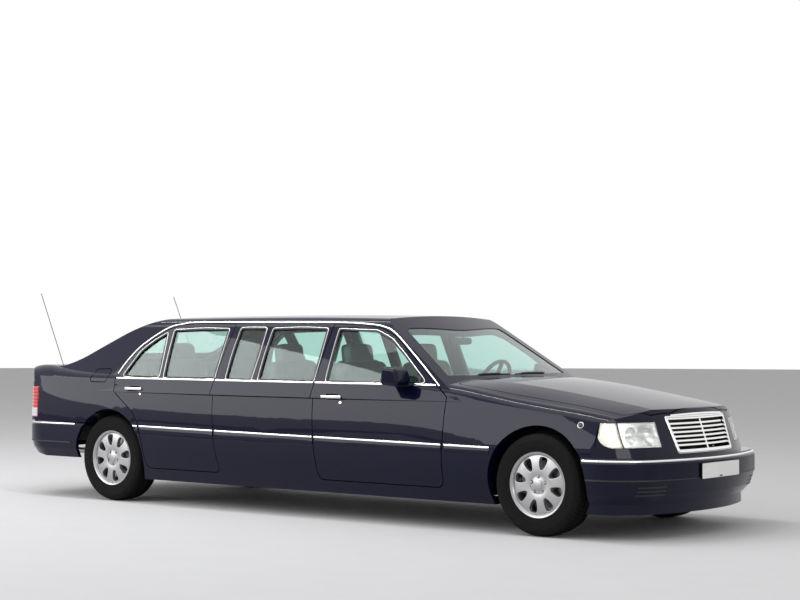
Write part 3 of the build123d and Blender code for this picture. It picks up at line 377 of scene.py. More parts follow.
def glassMaterial(name, colour, waves=0.0, waveScale=60.0, shade=0.75):
    # Clear glass that lets lamps through: a Principled transmission shader, and a tinted Transparent one in
    # shadows. Its roughness is a faint smear by a noise, and waves are flutes across it
    material, nodes, links, shader, place = newMaterial(name)
    shader.inputs["Base Color"].default_value = (*colour, 1)
    shader.inputs["Transmission Weight"].default_value = 1.0
    shader.inputs["IOR"].default_value = glassStyle["ior"]
    noise, smear = nodes.new("ShaderNodeTexNoise"), nodes.new("ShaderNodeMapRange")
    noise.inputs["Scale"].default_value = glassStyle["smearScale"]
    smear.inputs["To Max"].default_value = glassStyle["smear"]
    links.new(place, noise.inputs["Vector"])
    links.new(noise.outputs["Fac"], smear.inputs["Value"])
    links.new(smear.outputs["Result"], shader.inputs["Roughness"])
    if waves:
        ribs, bump = nodes.new("ShaderNodeTexWave"), nodes.new("ShaderNodeBump")
        ribs.inputs["Scale"].default_value = waveScale
        ribs.bands_direction = "Y"
        bump.inputs["Distance"].default_value = waves
        links.new(place, ribs.inputs["Vector"])
        links.new(ribs.outputs["Fac"], bump.inputs["Height"])
        links.new(bump.outputs["Normal"], shader.inputs["Normal"])
    clear, mix = nodes.new("ShaderNodeBsdfTransparent"), nodes.new("ShaderNodeMixShader")
    clear.inputs["Color"].default_value = (*(c * shade for c in colour), 1)
    links.new(nodes.new("ShaderNodeLightPath").outputs["Is Shadow Ray"], mix.inputs["Fac"])
    links.new(shader.outputs["BSDF"], mix.inputs[1])
    links.new(clear.outputs["BSDF"], mix.inputs[2])
    links.new(mix.outputs["Shader"], nodes["Material Output"].inputs["Surface"])
    return material


paint = finishMaterial("midnightPaint", (0.0021, 0.0024, 0.017), 0.3, tint=0.2, tintScale=900.0,
                       roughSpread=0.04, roughScale=700.0, Specular_IOR_Level=0.03, Coat_Weight=0.65,
                       Coat_Roughness=0.03, Coat_IOR=1.38)
underseal = finishMaterial("underseal", (0.018, 0.018, 0.018), 0.75, relief=0.0006, reliefScale=180.0)
chrome = finishMaterial("chrome", (0.86, 0.86, 0.85), 0.07, 1.0, tint=0.02, roughSpread=0.03, roughScale=25.0)
mirrorGlass = finishMaterial("mirrorGlass", (0.7, 0.78, 0.8), 0.02, 1.0, tint=0.02, roughSpread=0.01)
alloyPaint = finishMaterial("alloyPaint", (0.38, 0.38, 0.39), 0.34, 0.75, tint=0.03, tintScale=30.0,
                            relief=0.00002, reliefScale=2500.0, Coat_Weight=0.4, Coat_Roughness=0.15)
castIron = finishMaterial("castIron", (0.13, 0.13, 0.135), 0.62, 0.6, tint=0.2, relief=0.0003, reliefScale=350.0)
discSteel = finishMaterial("discSteel", (0.42, 0.4, 0.38), 0.35, 1.0, tint=0.12, relief=0.00004,
                           reliefScale=300.0, stretch=(1, 0.05, 1))
pipeSteel = finishMaterial("pipeSteel", (0.36, 0.34, 0.31), 0.42, 0.95, tint=0.18, tintScale=14.0, relief=0.0001)
tyreRubber = finishMaterial("tyreRubber", (0.0065, 0.0065, 0.007), 0.8, tint=0.2, tintScale=25.0, relief=0.0001,
                            reliefScale=900.0, Specular_IOR_Level=0.12)
sealRubber = finishMaterial("sealRubber", (0.008, 0.008, 0.009), 0.55, relief=0.00006, reliefScale=800.0)
blackPlastic = finishMaterial("blackPlastic", (0.02, 0.02, 0.022), 0.42, relief=0.00008, reliefScale=1400.0,
                              texture="voronoi")
dashSkin = finishMaterial("dashSkin", (0.035, 0.035, 0.04), 0.55, relief=0.00025, reliefScale=650.0,
                          texture="voronoi")
leather = finishMaterial("leather", (0.075, 0.076, 0.082), 0.45, tint=0.1, relief=0.0003, reliefScale=420.0,
                         texture="voronoi", Sheen_Weight=0.1)
carpet = finishMaterial("carpet", (0.035, 0.035, 0.04), 0.95, tint=0.25, tintScale=300.0, relief=0.0015,
                        reliefScale=900.0, Sheen_Weight=0.4)
headCloth = finishMaterial("headCloth", (0.38, 0.37, 0.36), 0.9, relief=0.0004, reliefScale=1200.0,
                           Sheen_Weight=0.3)
plateWhite = finishMaterial("plateWhite", (0.82, 0.82, 0.8), 0.35, tint=0.02, relief=0.00003, reliefScale=1500.0)
walnut = finishMaterial("walnut", (0.12, 0.045, 0.018), 0.2, tint=0.5, tintScale=9.0, stretch=(1, 0.25, 5),
                        Coat_Weight=0.8, Coat_Roughness=0.05)
darkMesh = finishMaterial("darkMesh", (0.006, 0.006, 0.006), 0.6, relief=0.003, reliefScale=120.0,
                          texture="voronoi")
reflectorSilver = finishMaterial("reflectorSilver", (0.92, 0.92, 0.9), 0.12, 1.0, tint=0.03, relief=0.0006,
                                 reliefScale=70.0)
redLens = finishMaterial("redLens", (0.5, 0.012, 0.01), 0.16, tint=0.1, relief=0.0006, reliefScale=240.0,
                         texture="voronoi", Coat_Weight=0.6, Coat_Roughness=0.04)
amberHint = finishMaterial("amberHint", (0.86, 0.76, 0.66), 0.2, 0.6, tint=0.25, tintScale=14.0, relief=0.0005,
                           reliefScale=90.0)
greyLens = finishMaterial("greyLens", (0.55, 0.56, 0.57), 0.16, tint=0.08, relief=0.0006, reliefScale=200.0,
                          texture="voronoi", Coat_Weight=0.6, Coat_Roughness=0.04)
whipBlack = finishMaterial("whipBlack", (0.012, 0.012, 0.013), 0.35, 0.3, tint=0.1, tintScale=40.0)
windowGlass = glassMaterial("windowGlass", (0.62, 0.83, 0.78))
lampGlass = glassMaterial("lampGlass", (0.97, 0.98, 0.98), waves=0.0008, waveScale=45.0, shade=0.95)

slotFinish = {"paint": paint, "window_glass": windowGlass, "underbody": underseal, "chrome_trim": chrome,
              "clear_lamp": greyLens, "red_lamp": redLens, "dash_plastic": dashSkin, "seat_leather": leather,
              "cast_metal": castIron, "pipe_steel": pipeSteel, "alloy": alloyPaint, "tyre_rubber": tyreRubber}
slotOf = {row["node"]: row["material_slot"] for row in frame["record"]["subparts"]}
nodeFinish = {"antennas": whipBlack}
for node, thing in frame["nodes"].items():
    thing.data.materials.clear()
    thing.data.materials.append(nodeFinish.get(node, slotFinish[slotOf[node]]))
print("finishes done")


# Wheels: a dished face with eight rounded openings, a barrel, hub, bolts, brake disc and a treaded tyre

wheelStyle = {
    "openings": 8, "openingMiddle": 0.146, "openingReach": 0.045, "openingHalf": 0.028, "openingFlare": 0.012,
    "openingPower": 0.72, "faceRadius": 0.197, "hubRadius": 0.063, "barrelDepth": 0.216,
    "dish": {"ridge": 0.1, "top": 0.011, "outerFall": 0.009, "outerReach": 0.097, "innerFall": 0.004,
             "innerReach": 0.04},
    "lip": [(0.93, 0.030), (0.955, 0.008), (0.975, 0.0025), (1.0, 0.0006), (1.03, 0.0)],  # share, depth
    "spread": (0.08, 0.2, 0.4, 0.6, 0.8, 1.0),  # shares of the way from an opening to its sector's edge
    "turn": {"front": 76.0, "rear": 101.0},
    "hub": [(0.0, 0.0105), (0.0270, 0.0108), (0.0315, 0.0122), (0.0328, 0.0150), (0.0345, 0.0158),
            (0.0640, 0.0166), (0.0662, 0.0195), (0.0662, 0.060), (0.0, 0.060)],
    "bolts": 5, "boltCircle": 0.056, "boltTurn": {"front": 90.0, "rear": 126.0},
    "studs": [("Pockets", 0.0125, 0.0150, 24, sealRubber), ("Bolts", 0.0085, 0.0095, 6, discSteel)],
    "studBevel": (0.84, 0.0012), "studFoot": 0.03,
}


def dish(r):
    # Depth of the wheel's face below its outermost plane: a parabola each side of a ridge
    style = wheelStyle["dish"]
    outer = np.maximum(r - style["ridge"], 0) / style["outerReach"]
    inner = np.maximum(style["ridge"] - r, 0) / style["innerReach"]
    return style["top"] + style["outerFall"] * outer ** 2 + style["innerFall"] * inner ** 2


def wheelFace(name, centre, inward, turn, body):
    # Each sector is a ring of points from an opening's edge to the sector's edge, blended in radius and angle;
    # the opening is a superellipse that widens outwards, and the same ring behind it makes the back
    style = wheelStyle
    rounded = lambda w: np.sign(w) * np.abs(w) ** style["openingPower"]
    s = circle(72)
    c, d = rounded(np.cos(s)), rounded(np.sin(s))
    toEdge = 1 / np.maximum(np.abs(np.cos(s)), np.abs(np.sin(s)))
    wide, narrow = style["faceRadius"], style["hubRadius"]
    edgeR = (wide + narrow) / 2 + (wide - narrow) / 2 * np.cos(s) * toEdge
    edgeA = math.pi / style["openings"] * np.sin(s) * toEdge

    def ring(scale, blend, sink):
        a = style["openingMiddle"] + style["openingReach"] * scale * c
        b = (style["openingHalf"] + style["openingFlare"] * c) * scale * d
        r, angle = np.hypot(a, b), np.arctan2(b, a)
        r, angle = r + (edgeR - r) * blend, angle + (edgeA - angle) * blend
        return np.stack([r, angle, dish(r) + sink], -1)

    (back, wall), (front, _) = style["lip"][0], style["lip"][-1]
    rows = [ring(back, blend, wall) for blend in (1.0, 0.5)] + [ring(k, 0.0, sink) for k, sink in style["lip"]]
    grid = np.stack(rows + [ring(front, blend, 0.0) for blend in style["spread"]])
    turns = np.radians(turn) + circle(style["openings"])
    angle = grid[None, ..., 1] + turns[:, None, None]
    r, depth = np.broadcast_to(grid[..., 0], angle.shape), np.broadcast_to(grid[..., 2], angle.shape)
    points = np.stack([r * np.cos(angle), inward * depth, r * np.sin(angle)], -1)
    rows, columns = grid.shape[:2]
    faces = [gridFaces(rows, columns, False, True, k * rows * columns) for k in range(style["openings"])]
    piece = addMesh(name, points + np.asarray(centre), faces, alloyPaint, body)
    return tidyNormals(piece, sharp=40)


def barrelProfile(rim, deep):
    # The rim's flange in front, its outer wall out to the rim's radius and the inner wall back to the face
    return [(0.1965, 0.0205), (0.1985, 0.0150), (0.2030, 0.0080), (0.2080, 0.0040), (0.2140, 0.0022),
            (0.2185, 0.0004), (rim, 0.0025), (rim, 0.0085), (0.2110, 0.0105), (0.2110, deep - 0.0105),
            (rim, deep - 0.0085), (rim, deep - 0.001), (0.2175, deep), (0.1995, deep - 0.014), (0.1975, 0.12),
            (0.1965, 0.055)]


def studs(name, places, radius, depth, sides, inward, material, body):
    # Short prisms with a bevelled front: three rings of points and a fan over each end, copied to each place
    (share, drop), foot = wheelStyle["studBevel"], wheelStyle["studFoot"]
    t = circle(sides)
    edge = radius * np.stack([np.cos(t), 0 * t, np.sin(t)], -1)
    deep = lambda y: [0, inward * y, 0]
    shape = np.concatenate([edge * share + deep(depth), edge + deep(depth + drop), edge + deep(foot),
                            [deep(depth)], [deep(foot)]])
    here, following = np.arange(sides), (np.arange(sides) + 1) % sides
    fanFront = np.stack([here, following, np.full(sides, 3 * sides)], -1)
    fanBack = np.stack([here, following, np.full(sides, sides + 1)], -1) + 2 * sides
    faces = [part + len(shape) * k for k in range(len(places))
             for part in (gridFaces(3, sides, False, True), fanFront, fanBack)]
    tidyNormals(addMesh(name, places[:, None] + shape[None], faces, material, body, smooth=False))


tyreStyle = {  # half of the tyre's outline, as (y, radius) and for the ribs whether the tread's cuts lower them
    "side": [(-0.106, 0.2215), (-0.1095, 0.2255), (-0.1125, 0.231), (-0.1115, 0.2365), (-0.1145, 0.2475),
             (-0.1158, 0.2485), (-0.1155, 0.2505), (-0.1168, 0.262), (-0.1175, 0.284), (-0.1168, 0.2955),
             (-0.1172, 0.2972), (-0.116, 0.2992), (-0.1135, 0.3125), (-0.1075, 0.3250), (-0.0985, 0.3340)],
    "ribs": [(-0.0890, 0.3388, 1), (-0.0700, 0.3418, 1), (-0.0590, 0.3428, 1), (-0.0580, 0.3360, 0),
             (-0.0510, 0.3360, 0), (-0.0500, 0.3432, 1), (-0.0300, 0.3437, 1), (-0.0290, 0.3368, 0),
             (-0.0220, 0.3368, 0), (-0.0210, 0.3439, 0), (0.0, 0.3440, 0)],
    "inside": [(0.100, 0.2230, 0), (0.070, 0.2212, 0), (-0.070, 0.2212, 0), (-0.100, 0.2230, 0)],
    "drawnRadius": 0.344, "drawnHalf": 0.1175,
    "pitches": 72, "block": (0.0, 0.74, 0.78, 0.96), "lowered": (0, 0, 1, 1), "cut": 0.005, "slant": 0.35,
}


def treadedTyre(name, centre, half, outerRadius, body):
    # A profile turned about the axle; ribs are lowered between pitches, so each is a block with a cross groove
    style, pitches = tyreStyle, tyreStyle["pitches"]
    left = [(y, r, 0) for y, r in style["side"]] + style["ribs"]
    profile = np.array(left + [(-y, r, k) for y, r, k in left[-2::-1]] + style["inside"])
    u = (np.arange(pitches)[:, None] + np.array(style["block"])).ravel() / pitches
    low = np.tile(style["lowered"], pitches)
    slant = style["slant"] / pitches * np.sin(profile[:, 0] * 40)
    angle = 2 * math.pi * (u[:, None] + slant * profile[:, 2])
    r = (profile[:, 1] - style["cut"] * profile[:, 2] * low[:, None]) * (outerRadius / style["drawnRadius"])
    y = np.broadcast_to(profile[:, 0] * (half / style["drawnHalf"]), r.shape)
    points = np.stack([r * np.cos(angle), y, r * np.sin(angle)], -1)
    faces = [gridFaces(len(u), len(profile), True, True)]
    piece = addMesh(name, points + np.asarray(centre), faces, tyreRubber, body)
    return tidyNormals(piece, sharp=32)


brakeStyle = {
    "radius": 0.160, "depth": (0.082, 0.112),
    "calipers": {"Outer": (0.125, (0.068, 0.024, 0.15)), "Inner": (0.125, (0.068, 0.028, 0.15)),
                 "Bridge": (0.177, (0.026, 0.088, 0.066))},  # distance from the axle, and size
}


def discProfile():
    # A bell round the hub and two rubbing faces with a vent between them
    (low, high), radius = brakeStyle["depth"], brakeStyle["radius"]
    return [(0.030, 0.058), (0.085, 0.058), (0.090, low + 0.004), (0.094, low), (radius, low),
            (radius + 0.0005, low + 0.001), (radius, low + 0.011), (0.150, low + 0.012), (0.150, high - 0.012),
            (radius, high - 0.011), (radius, high), (0.094, high), (0.080, high - 0.008), (0.030, high - 0.008)]


def caliperAt(end, hand, centre, inward):
    # Two pads' housings and a bridge over the disc's edge, ahead of a rear axle and behind a front one
    low, high = brakeStyle["depth"]
    carrier, back = (f"knuckle_{hand}", -1) if end == "front" else ("body", 1)
    depths = {"Outer": low - 0.016, "Inner": high + 0.018, "Bridge": (low + high) / 2}
    for word, (x, size) in brakeStyle["calipers"].items():
        cushionBox(f"caliper{word}_{end}_{hand}", centre + [back * x, inward * depths[word], 0.01], size,
                   (0.3, 0.3), castIron, carrier, "cast_metal", grid=(32, 20))


def wheelAt(end, hand):
    # One wheel, worked out from the boxes of its rim and tyre, with its outlines turned about its axle
    style, inward = wheelStyle, -hands[hand]
    rim, tyre = np.array(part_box(f"rim_{end}_{hand}")), np.array(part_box(f"tyre_{end}_{hand}"))
    body = bodyOf[f"rim_{end}_{hand}"]
    middle, half = tyre.mean(0), (tyre[1] - tyre[0]) / 2
    rimRadius = (rim[1, 0] - rim[0, 0]) / 2
    centre = np.array([middle[0], rim[0, 1] if inward > 0 else rim[1, 1], middle[2]])
    face = wheelFace(f"wheelFace_{end}_{hand}", centre, inward, style["turn"][end], body)
    turned = lambda profile: [(r, inward * y) for r, y in profile]
    lathe(f"wheelBarrel_{end}_{hand}", turned(barrelProfile(rimRadius, style["barrelDepth"])), centre, alloyPaint,
          body)
    lathe(f"wheelHub_{end}_{hand}", turned(style["hub"]), centre, alloyPaint, body, turns=64)
    a = np.radians(style["boltTurn"][end]) + circle(style["bolts"])
    places = centre + style["boltCircle"] * np.stack([np.cos(a), 0 * a, np.sin(a)], -1)
    for word, radius, depth, sides, material in style["studs"]:
        studs(f"wheel{word}_{end}_{hand}", places, radius, depth, sides, inward, material, body)
    lathe(f"brakeDisc_{end}_{hand}", turned(discProfile()), centre, discSteel, body)
    tread = treadedTyre(f"tyreTread_{end}_{hand}", middle, half[1], half[2], body)
    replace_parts(face, f"rim_{end}_{hand}")
    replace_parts(tread, f"tyre_{end}_{hand}")
    caliperAt(end, hand, centre, inward)


for end in ("front", "rear"):
    for hand in hands:
        wheelAt(end, hand)
print("wheels done")


# Bright trim outside: the belt line, the roof edge, the rub strips, window seals and bumper strips

sideTrim = {
    "belt": {"level": 0.990, "size": (0.017, 0.006), "rear": -1.871, "front": 1.361},
    "rub": {"rear": (-1.640, 0.613), "front": (1.872, 0.578), "size": (0.016, 0.006), "bandDrop": 0.030,
            "bandSize": (0.044, 0.004), "trim": 0.0035},
    "roof": {"line": [(-1.868, 1.012), (-1.800, 1.130), (-1.690, 1.250), (-1.480, 1.378), (-1.320, 1.413),
                      (-1.128, 1.427), (-0.400, 1.424), (0.300, 1.421), (0.560, 1.411), (0.745, 1.389),
                      (0.885, 1.330), (1.163, 1.136), (1.382, 0.970)],
             "outside": 0.010, "size": (0.013, 0.006)},
    "seals": [("windowSeal", 0.007, (0.016, 0.003), sealRubber, "dash_plastic"),
              ("windowBead", 0.0175, (0.006, 0.004), chrome, "chrome_trim")],
}
windowOutlines = {  # corners (x, z, radius) of each window, by the panel that it is in
    "front": [[(0.372, 1.003, 0.02), (1.262, 1.003, 0.025), (1.005, 1.195, 0.08), (0.846, 1.300, 0.09),
               (0.700, 1.358, 0.09), (0.346, 1.378, 0.02)]],
    "rear": [[(-1.318, 1.008, 0.02), (-0.778, 1.008, 0.02), (-0.795, 1.378, 0.02), (-1.380, 1.370, 0.02)],
             [(-1.800, 1.010, 0.02), (-1.392, 1.010, 0.02), (-1.462, 1.345, 0.015), (-1.560, 1.290, 0.06),
              (-1.680, 1.200, 0.12)]],
    "middle": [[(-0.640, 1.005, 0.02), (-0.385, 1.005, 0.02), (-0.397, 1.380, 0.02), (-0.654, 1.380, 0.02)],
               [(-0.300, 1.005, 0.02), (0.236, 1.005, 0.02), (0.216, 1.380, 0.02), (-0.313, 1.380, 0.02)]],
}


def farSide(x, z, hand):
    # Side view places moved out to one side of the car
    return np.stack([x, np.full(len(x), hands[hand] * 1.4), z + 0 * x], 1)


def sideTrims(hand):
    # The belt strip is level, the rub strip and the painted band below it fall forward on a line, and the roof
    # strip is the windows' curve moved outwards
    panels = ["side_frames", f"door_front_{hand}", f"door_rear_{hand}", "fenders", "roof_panel"]
    heading = (0, -hands[hand], 0)
    belt, rub, roof = sideTrim["belt"], sideTrim["rub"], sideTrim["roof"]
    beltX = np.arange(belt["rear"], belt["front"], 0.006)
    (rearX, rearZ), (frontX, frontZ) = rub["rear"], rub["front"]
    rubX = np.arange(rearX, frontX, 0.008)
    rubZ = rearZ + (frontZ - rearZ) * (rubX - rearX) / (frontX - rearX)
    arc = resample(smoothPath(roof["line"], 240), 0.008)
    arc = arc + unit(np.gradient(arc, axis=0)[:, ::-1] * [-1, 1]) * roof["outside"]
    for name, x, z, size, trim, material, slotName in (
            ("beltStrip", beltX, belt["level"], belt["size"], 0.002, chrome, "chrome_trim"),
            ("rubStrip", rubX, rubZ, rub["size"], rub["trim"], chrome, "chrome_trim"),
            ("rubBand", rubX, rubZ - rub["bandDrop"], rub["bandSize"], rub["trim"], paint, "paint"),
            ("roofStrip", arc[:, 0], arc[:, 1], roof["size"], 0.002, chrome, "chrome_trim")):
        stripAlong(f"{name}_{hand}", panels, farSide(x, z, hand), heading, halfRound(*size), material,
                   trim)


def windowSeals(hand):
    # A black rubber lip just outside each window opening, and a thin bright bead outside that
    for word, outlines in windowOutlines.items():
        node = "side_frames" if word == "middle" else f"door_{word}_{hand}"
        for k, outline in enumerate(outlines):
            loop = roundedLoop(outline, 0.008)
            outside = unit(loop - loop.mean(0))
            for name, away, size, material, slotName in sideTrim["seals"]:
                x, z = (loop + outside * away).T
                stripAlong(f"{name}_{word}{k}_{hand}", [node], farSide(x, z, hand), (0, -hands[hand], 0),
                           halfRound(*size), material, evenness=21, closed=True)


for hand in hands:
    sideTrims(hand)
    windowSeals(hand)
print("side trim done")


# Nose and tail: bumper strips, the number plate, lamps, grille and wipers

noseStyle = {
    "bumperPlan": {"front": [(3.1065, 0.0), (3.078, 0.380), (3.012, 0.640), (2.905, 0.835), (2.640, 0.938)],
                   "rear": [(-3.1065, 0.0), (-3.092, 0.400), (-3.052, 0.660), (-2.965, 0.830), (-2.700, 0.938)]},
    "strip": {"front": (0.521, 0.011, 2.590), "rear": (0.604, 0.011, -2.318)},  # height, inset, end along X
    # the height, inset and end of the dark strip that is the groove's painted shade
    "groove": {"front": (0.398, -0.001, 2.620), "rear": (0.455, -0.001, -2.360)},
    "plate": {"size": (0.520, 0.110), "middle": 0.440, "corner": 0.010, "border": 0.0045, "seat": 0.0057},
    "slots": {"levels": (0.352, 0.326, 0.300), "reach": (0.56, 0.80), "height": 0.011},
    "sideLamp": {"place": (2.541, 0.750), "radii": [0.0, 0.008, 0.015, 0.0185, 0.0205, 0.0225, 0.0225],
                 "heights": [0.0075, 0.0068, 0.0042, 0.0016, 0.0030, 0.0008, -0.004], "sides": 40},
}


def arcThrough(a, b, c, count):
    # The circle through three points, walked by angle from the first past the second to the third
    a, b, c = (np.asarray(k, float) for k in (a, b, c))
    m = np.array([b - a, c - b]) * 2
    centre = np.linalg.solve(m, [b @ b - a @ a, c @ c - b @ b])
    angle = np.unwrap([math.atan2(*(k - centre)[::-1]) for k in (a, b, c)])
    t = np.linspace(angle[0], angle[2], count)
    return centre + np.linalg.norm(a - centre) * np.stack([np.cos(t), np.sin(t)], 1)


def bumperPath(end, level, inset, stop):
    # The bumper's plan line at one height: a straight side, an arc, the middle arc, and the same mirrored
    p = np.array([(x - math.copysign(inset, x), y - inset * y / 0.94) for x, y in noseStyle["bumperPlan"][end]])
    mirrored = p * [1, -1]
    sideArc = arcThrough(p[4], p[3], p[2], 40)
    middleArc = arcThrough(p[2], p[0], mirrored[2], 90)
    half = np.vstack([[[stop, p[4][1]]], sideArc[:-1]])
    flat = resample(np.vstack([half, middleArc, (half * [1, -1])[::-1]]), 0.012)
    return np.column_stack([flat, np.full(len(flat), level)])


def outwardOf(path):
    # The horizontal direction square to a path round the car
    along = unit(np.gradient(path, axis=0))
    out = np.stack([along[:, 1], -along[:, 0], 0 * along[:, 0]], 1)
    return out * np.sign((out * path)[:, :2].sum(1).mean())


def bumperTrim(end):
    # A bright strip, and a flat dark strip that is painted shade for a groove, each a profile carried along the
    # bumper at its own height
    for word, profile, material, slotName in (
            ("strip", halfRound(0.017, 0.0055), chrome, "chrome_trim"),
            ("groove", flatBar(0.010, 0.0006, 0.004), sealRubber, "dash_plastic")):
        path = bumperPath(end, *noseStyle[word][end])
        sweep(f"bumper{word.capitalize()}_{end}", path, outwardOf(path), profile, material, "body")


def numberPlate():
    # A blank plate: a white sheet with a raised dark border, in the seat of the front bumper
    style, back = noseStyle["plate"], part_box("front_bumper")[1].x - noseStyle["plate"]["seat"]
    for name, border, thick, material, slotName in (
            ("plateBorder", 0.0, 0.0045, sealRubber, "dash_plastic"),
            ("plateSheet", style["border"], 0.0052, plateWhite, "paint")):
        wide, high = (side - 2 * border for side in style["size"])
        loop = roundedLoop(squareCorners(0, style["middle"], wide, high, style["corner"]), 0.004)
        n = len(loop)
        points = np.vstack([np.column_stack([np.full(n, x), loop]) for x in (back, back + thick)])
        faces = [gridFaces(2, n, False, True), [list(range(n - 1, -1, -1))], [list(range(n, 2 * n))]]
        addMesh(name, points, faces, material, "body", smooth=False)


def slotShadeStrips():
    # Dark strips laid on the bumper under each front corner: painted shade standing in for the insides of air
    # slots
    style = noseStyle["slots"]
    for hand, sign in hands.items():
        for k, level in enumerate(style["levels"]):
            y = np.arange(*style["reach"], 0.008) * sign
            stripAlong(f"bumperSlot{k}_{hand}", ["front_bumper"], np.stack([3.6 + 0 * y, y, level + 0 * y], 1),
                       (-1, 0, 0), flatBar(style["height"], 0.0008, 0.003), sealRubber)


def fenderLamp(hand):
    # A small round side lamp: a domed lens in a bright ring
    style, sign = noseStyle["sideLamp"], hands[hand]
    x, z = style["place"]
    points = ringsOn(["fenders"], [x, sign * 1.4, z], (0, -sign, 0), style["radii"], style["heights"],
                     style["sides"])
    for name, rows, material, slotName in (("fenderLens", slice(0, 4), lampGlass, "clear_lamp"),
                                           ("fenderRing", slice(3, 7), chrome, "chrome_trim")):
        faces = [gridFaces(len(points[rows]), style["sides"], False, True)]
        tidyNormals(addMesh(f"{name}_{hand}", points[rows], faces, material, "body"))


lampStyle = {
    "lean": 0.9, "inset": 0.003, "lens": 0.0035, "top": 0.7665, "sheet": 0.0015, "smoothings": 4,
    "rows": 101, "columns": 40,
    "rim": {"ends": 0.45, "edges": 0.165, "slope": 2.5, "depth": 0.012},
    "bowls": ((0.80, 0.47, 0.175, 0.46, 0.050), (0.53, 0.47, 0.115, 0.38, 0.038)),  # middle, half sizes, depth
    "bulb": (0.030, 0.022, 0.022), "bulbBack": 0.010,
    "divider": (0.35, 0.40, 0.27), "corner": (0.30, 0.62),
    "tail": {"split": 0.727, "inset": 0.004, "gap": 0.003, "redRibs": 6, "greyRibs": 3, "perRib": 8,
             "ribFoot": 0.0008, "ribHeight": 0.0042, "ribPower": 0.6, "sheet": 0.002},
}


def lampEnds(node, hand, heights):
    # The rays' heading, the level direction across it, and the lamp's outer and inner end along that at some
    # heights
    sign, forward = hands[hand], 1 if node == "headlamps" else -1
    heading = np.array([-forward, -sign * lampStyle["lean"], 0.0])
    along = unit(np.cross(heading, [0, 0, 1.0]))
    s = np.arange(-3.5, 3.5, 0.0015)
    ends = []
    for z in heights:
        points, _, who = landOn([node], s[:, None] * along - 6.0 * unit(heading) + [0, 0, z], heading)
        mine = (who >= 0) & (points[:, 1] * sign > 0)
        good, near = s[mine], points[mine]
        ends.append((good[0], good[-1]) if abs(near[0, 1]) > abs(near[-1, 1]) else (good[-1], good[0]))
    return heading, along, np.array(ends)


def lampSurface(node, hand, t, z, span, inset):
    # The lamp's outer surface at grids of t and z: rays from start(t, z) = s(t, z) * along + z, where t runs from
    # the outer to the inner end and s is blended from the ends at the lowest and the highest height
    heading, along, ends = lampEnds(node, hand, span)
    w = ((z - span[0]) / (span[1] - span[0]))[..., None]
    both = ends[0] * (1 - w) + ends[1] * w
    shift = np.sign(both[..., 1] - both[..., 0]) * inset
    first, last = both[..., 0] + shift, both[..., 1] - shift
    s = first + (last - first) * t
    starts = s[..., None] * along - 6.0 * unit(heading) + np.stack([0 * s, 0 * s, z], -1)
    points, out, _ = landOn([node], starts.reshape(-1, 3), heading)
    points, out = points.reshape(t.shape + (3,)), out.reshape(t.shape + (3,))
    for _ in range(lampStyle["smoothings"]):
        out[1:-1] = unit(out[:-2] + out[1:-1] + out[2:])
    return points, out


def headlamp(hand):
    # A fluted clear lens over a silver bowl sheet; depth is a rim slope plus paraboloids d (1 - rho^2). The
    # divider is one row of the grid, and t is stretched on each side of it so that it slants with height
    style = lampStyle
    span = (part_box("headlamps")[0].z + style["inset"], style["top"])
    share, foot, head = style["divider"]
    u, v = np.meshgrid(np.linspace(0, 1, style["rows"]), np.linspace(0, 1, style["columns"]), indexing="ij")
    line = foot + (head - foot) * v
    t = np.where(u < share, u / share * line, line + (u - share) / (1 - share) * (1 - line))
    z = span[0] + (span[1] - span[0]) * v
    surface, out = lampSurface("headlamps", hand, t, z, span, style["inset"])
    lens = layered(f"headlampLens_{hand}", surface, surface - out * style["lens"], lampGlass)
    rim = style["rim"]
    edge = np.minimum(np.minimum(t, 1 - t) * rim["ends"], np.minimum(v, 1 - v) * rim["edges"])
    depth = style["lens"] + style["sheet"] + np.minimum(edge * rim["slope"], rim["depth"])
    inward = unit(out * [1, 1, 0.0])
    bulbs = []
    for a, b, across, up, deep in style["bowls"]:
        rho = ((t - a) / across) ** 2 + ((v - b) / up) ** 2
        depth = np.maximum(depth, np.where(rho < 1, rim["depth"] + deep * (1 - rho), 0))
        i, j = np.unravel_index(rho.argmin(), rho.shape)
        bulbs.append(surface[i, j] - inward[i, j] * (deep - style["bulbBack"]))
    sheet = surface - inward * depth[..., None]
    k = int(round(share * (style["rows"] - 1)))
    for word, rows, material, slotName in (("headlampBowl", slice(k, None), reflectorSilver, "chrome_trim"),
                                           ("indicatorBowl", slice(0, k + 1), amberHint, "clear_lamp")):
        layered(f"{word}_{hand}", sheet[rows], sheet[rows] - inward[rows] * style["sheet"], material)
    for n, middle in enumerate(bulbs):
        cushionBox(f"headlampBulb{n}_{hand}", middle, style["bulb"], (1, 1), greyLens, "body", "chrome_trim",
                   grid=(24, 16))
    sweep(f"headlampDivider_{hand}", surface[k] + out[k] * 0.0004, out[k], flatBar(0.006, 0.0008, 0.012),
          sealRubber, "body")
    headlampCorner(hand, span)
    return lens


def headlampCorner(hand, span):
    # A painted patch over the lamp's lower outer corner: its upper edge is a quarter of an ellipse
    reach, rise = lampStyle["corner"]
    t, w = np.meshgrid(np.linspace(0, reach, 40), np.linspace(0, 1, 14), indexing="ij")
    v = w * rise * (1 - np.sqrt(np.maximum(1 - ((reach - t) / reach) ** 2, 0)))
    z = span[0] - 0.0025 + (span[1] - span[0]) * v
    patch, out = lampSurface("headlamps", hand, t, z, span, 0.0)
    layered(f"headlampCorner_{hand}", patch + out * 0.0012, patch - out * 0.002, paint)


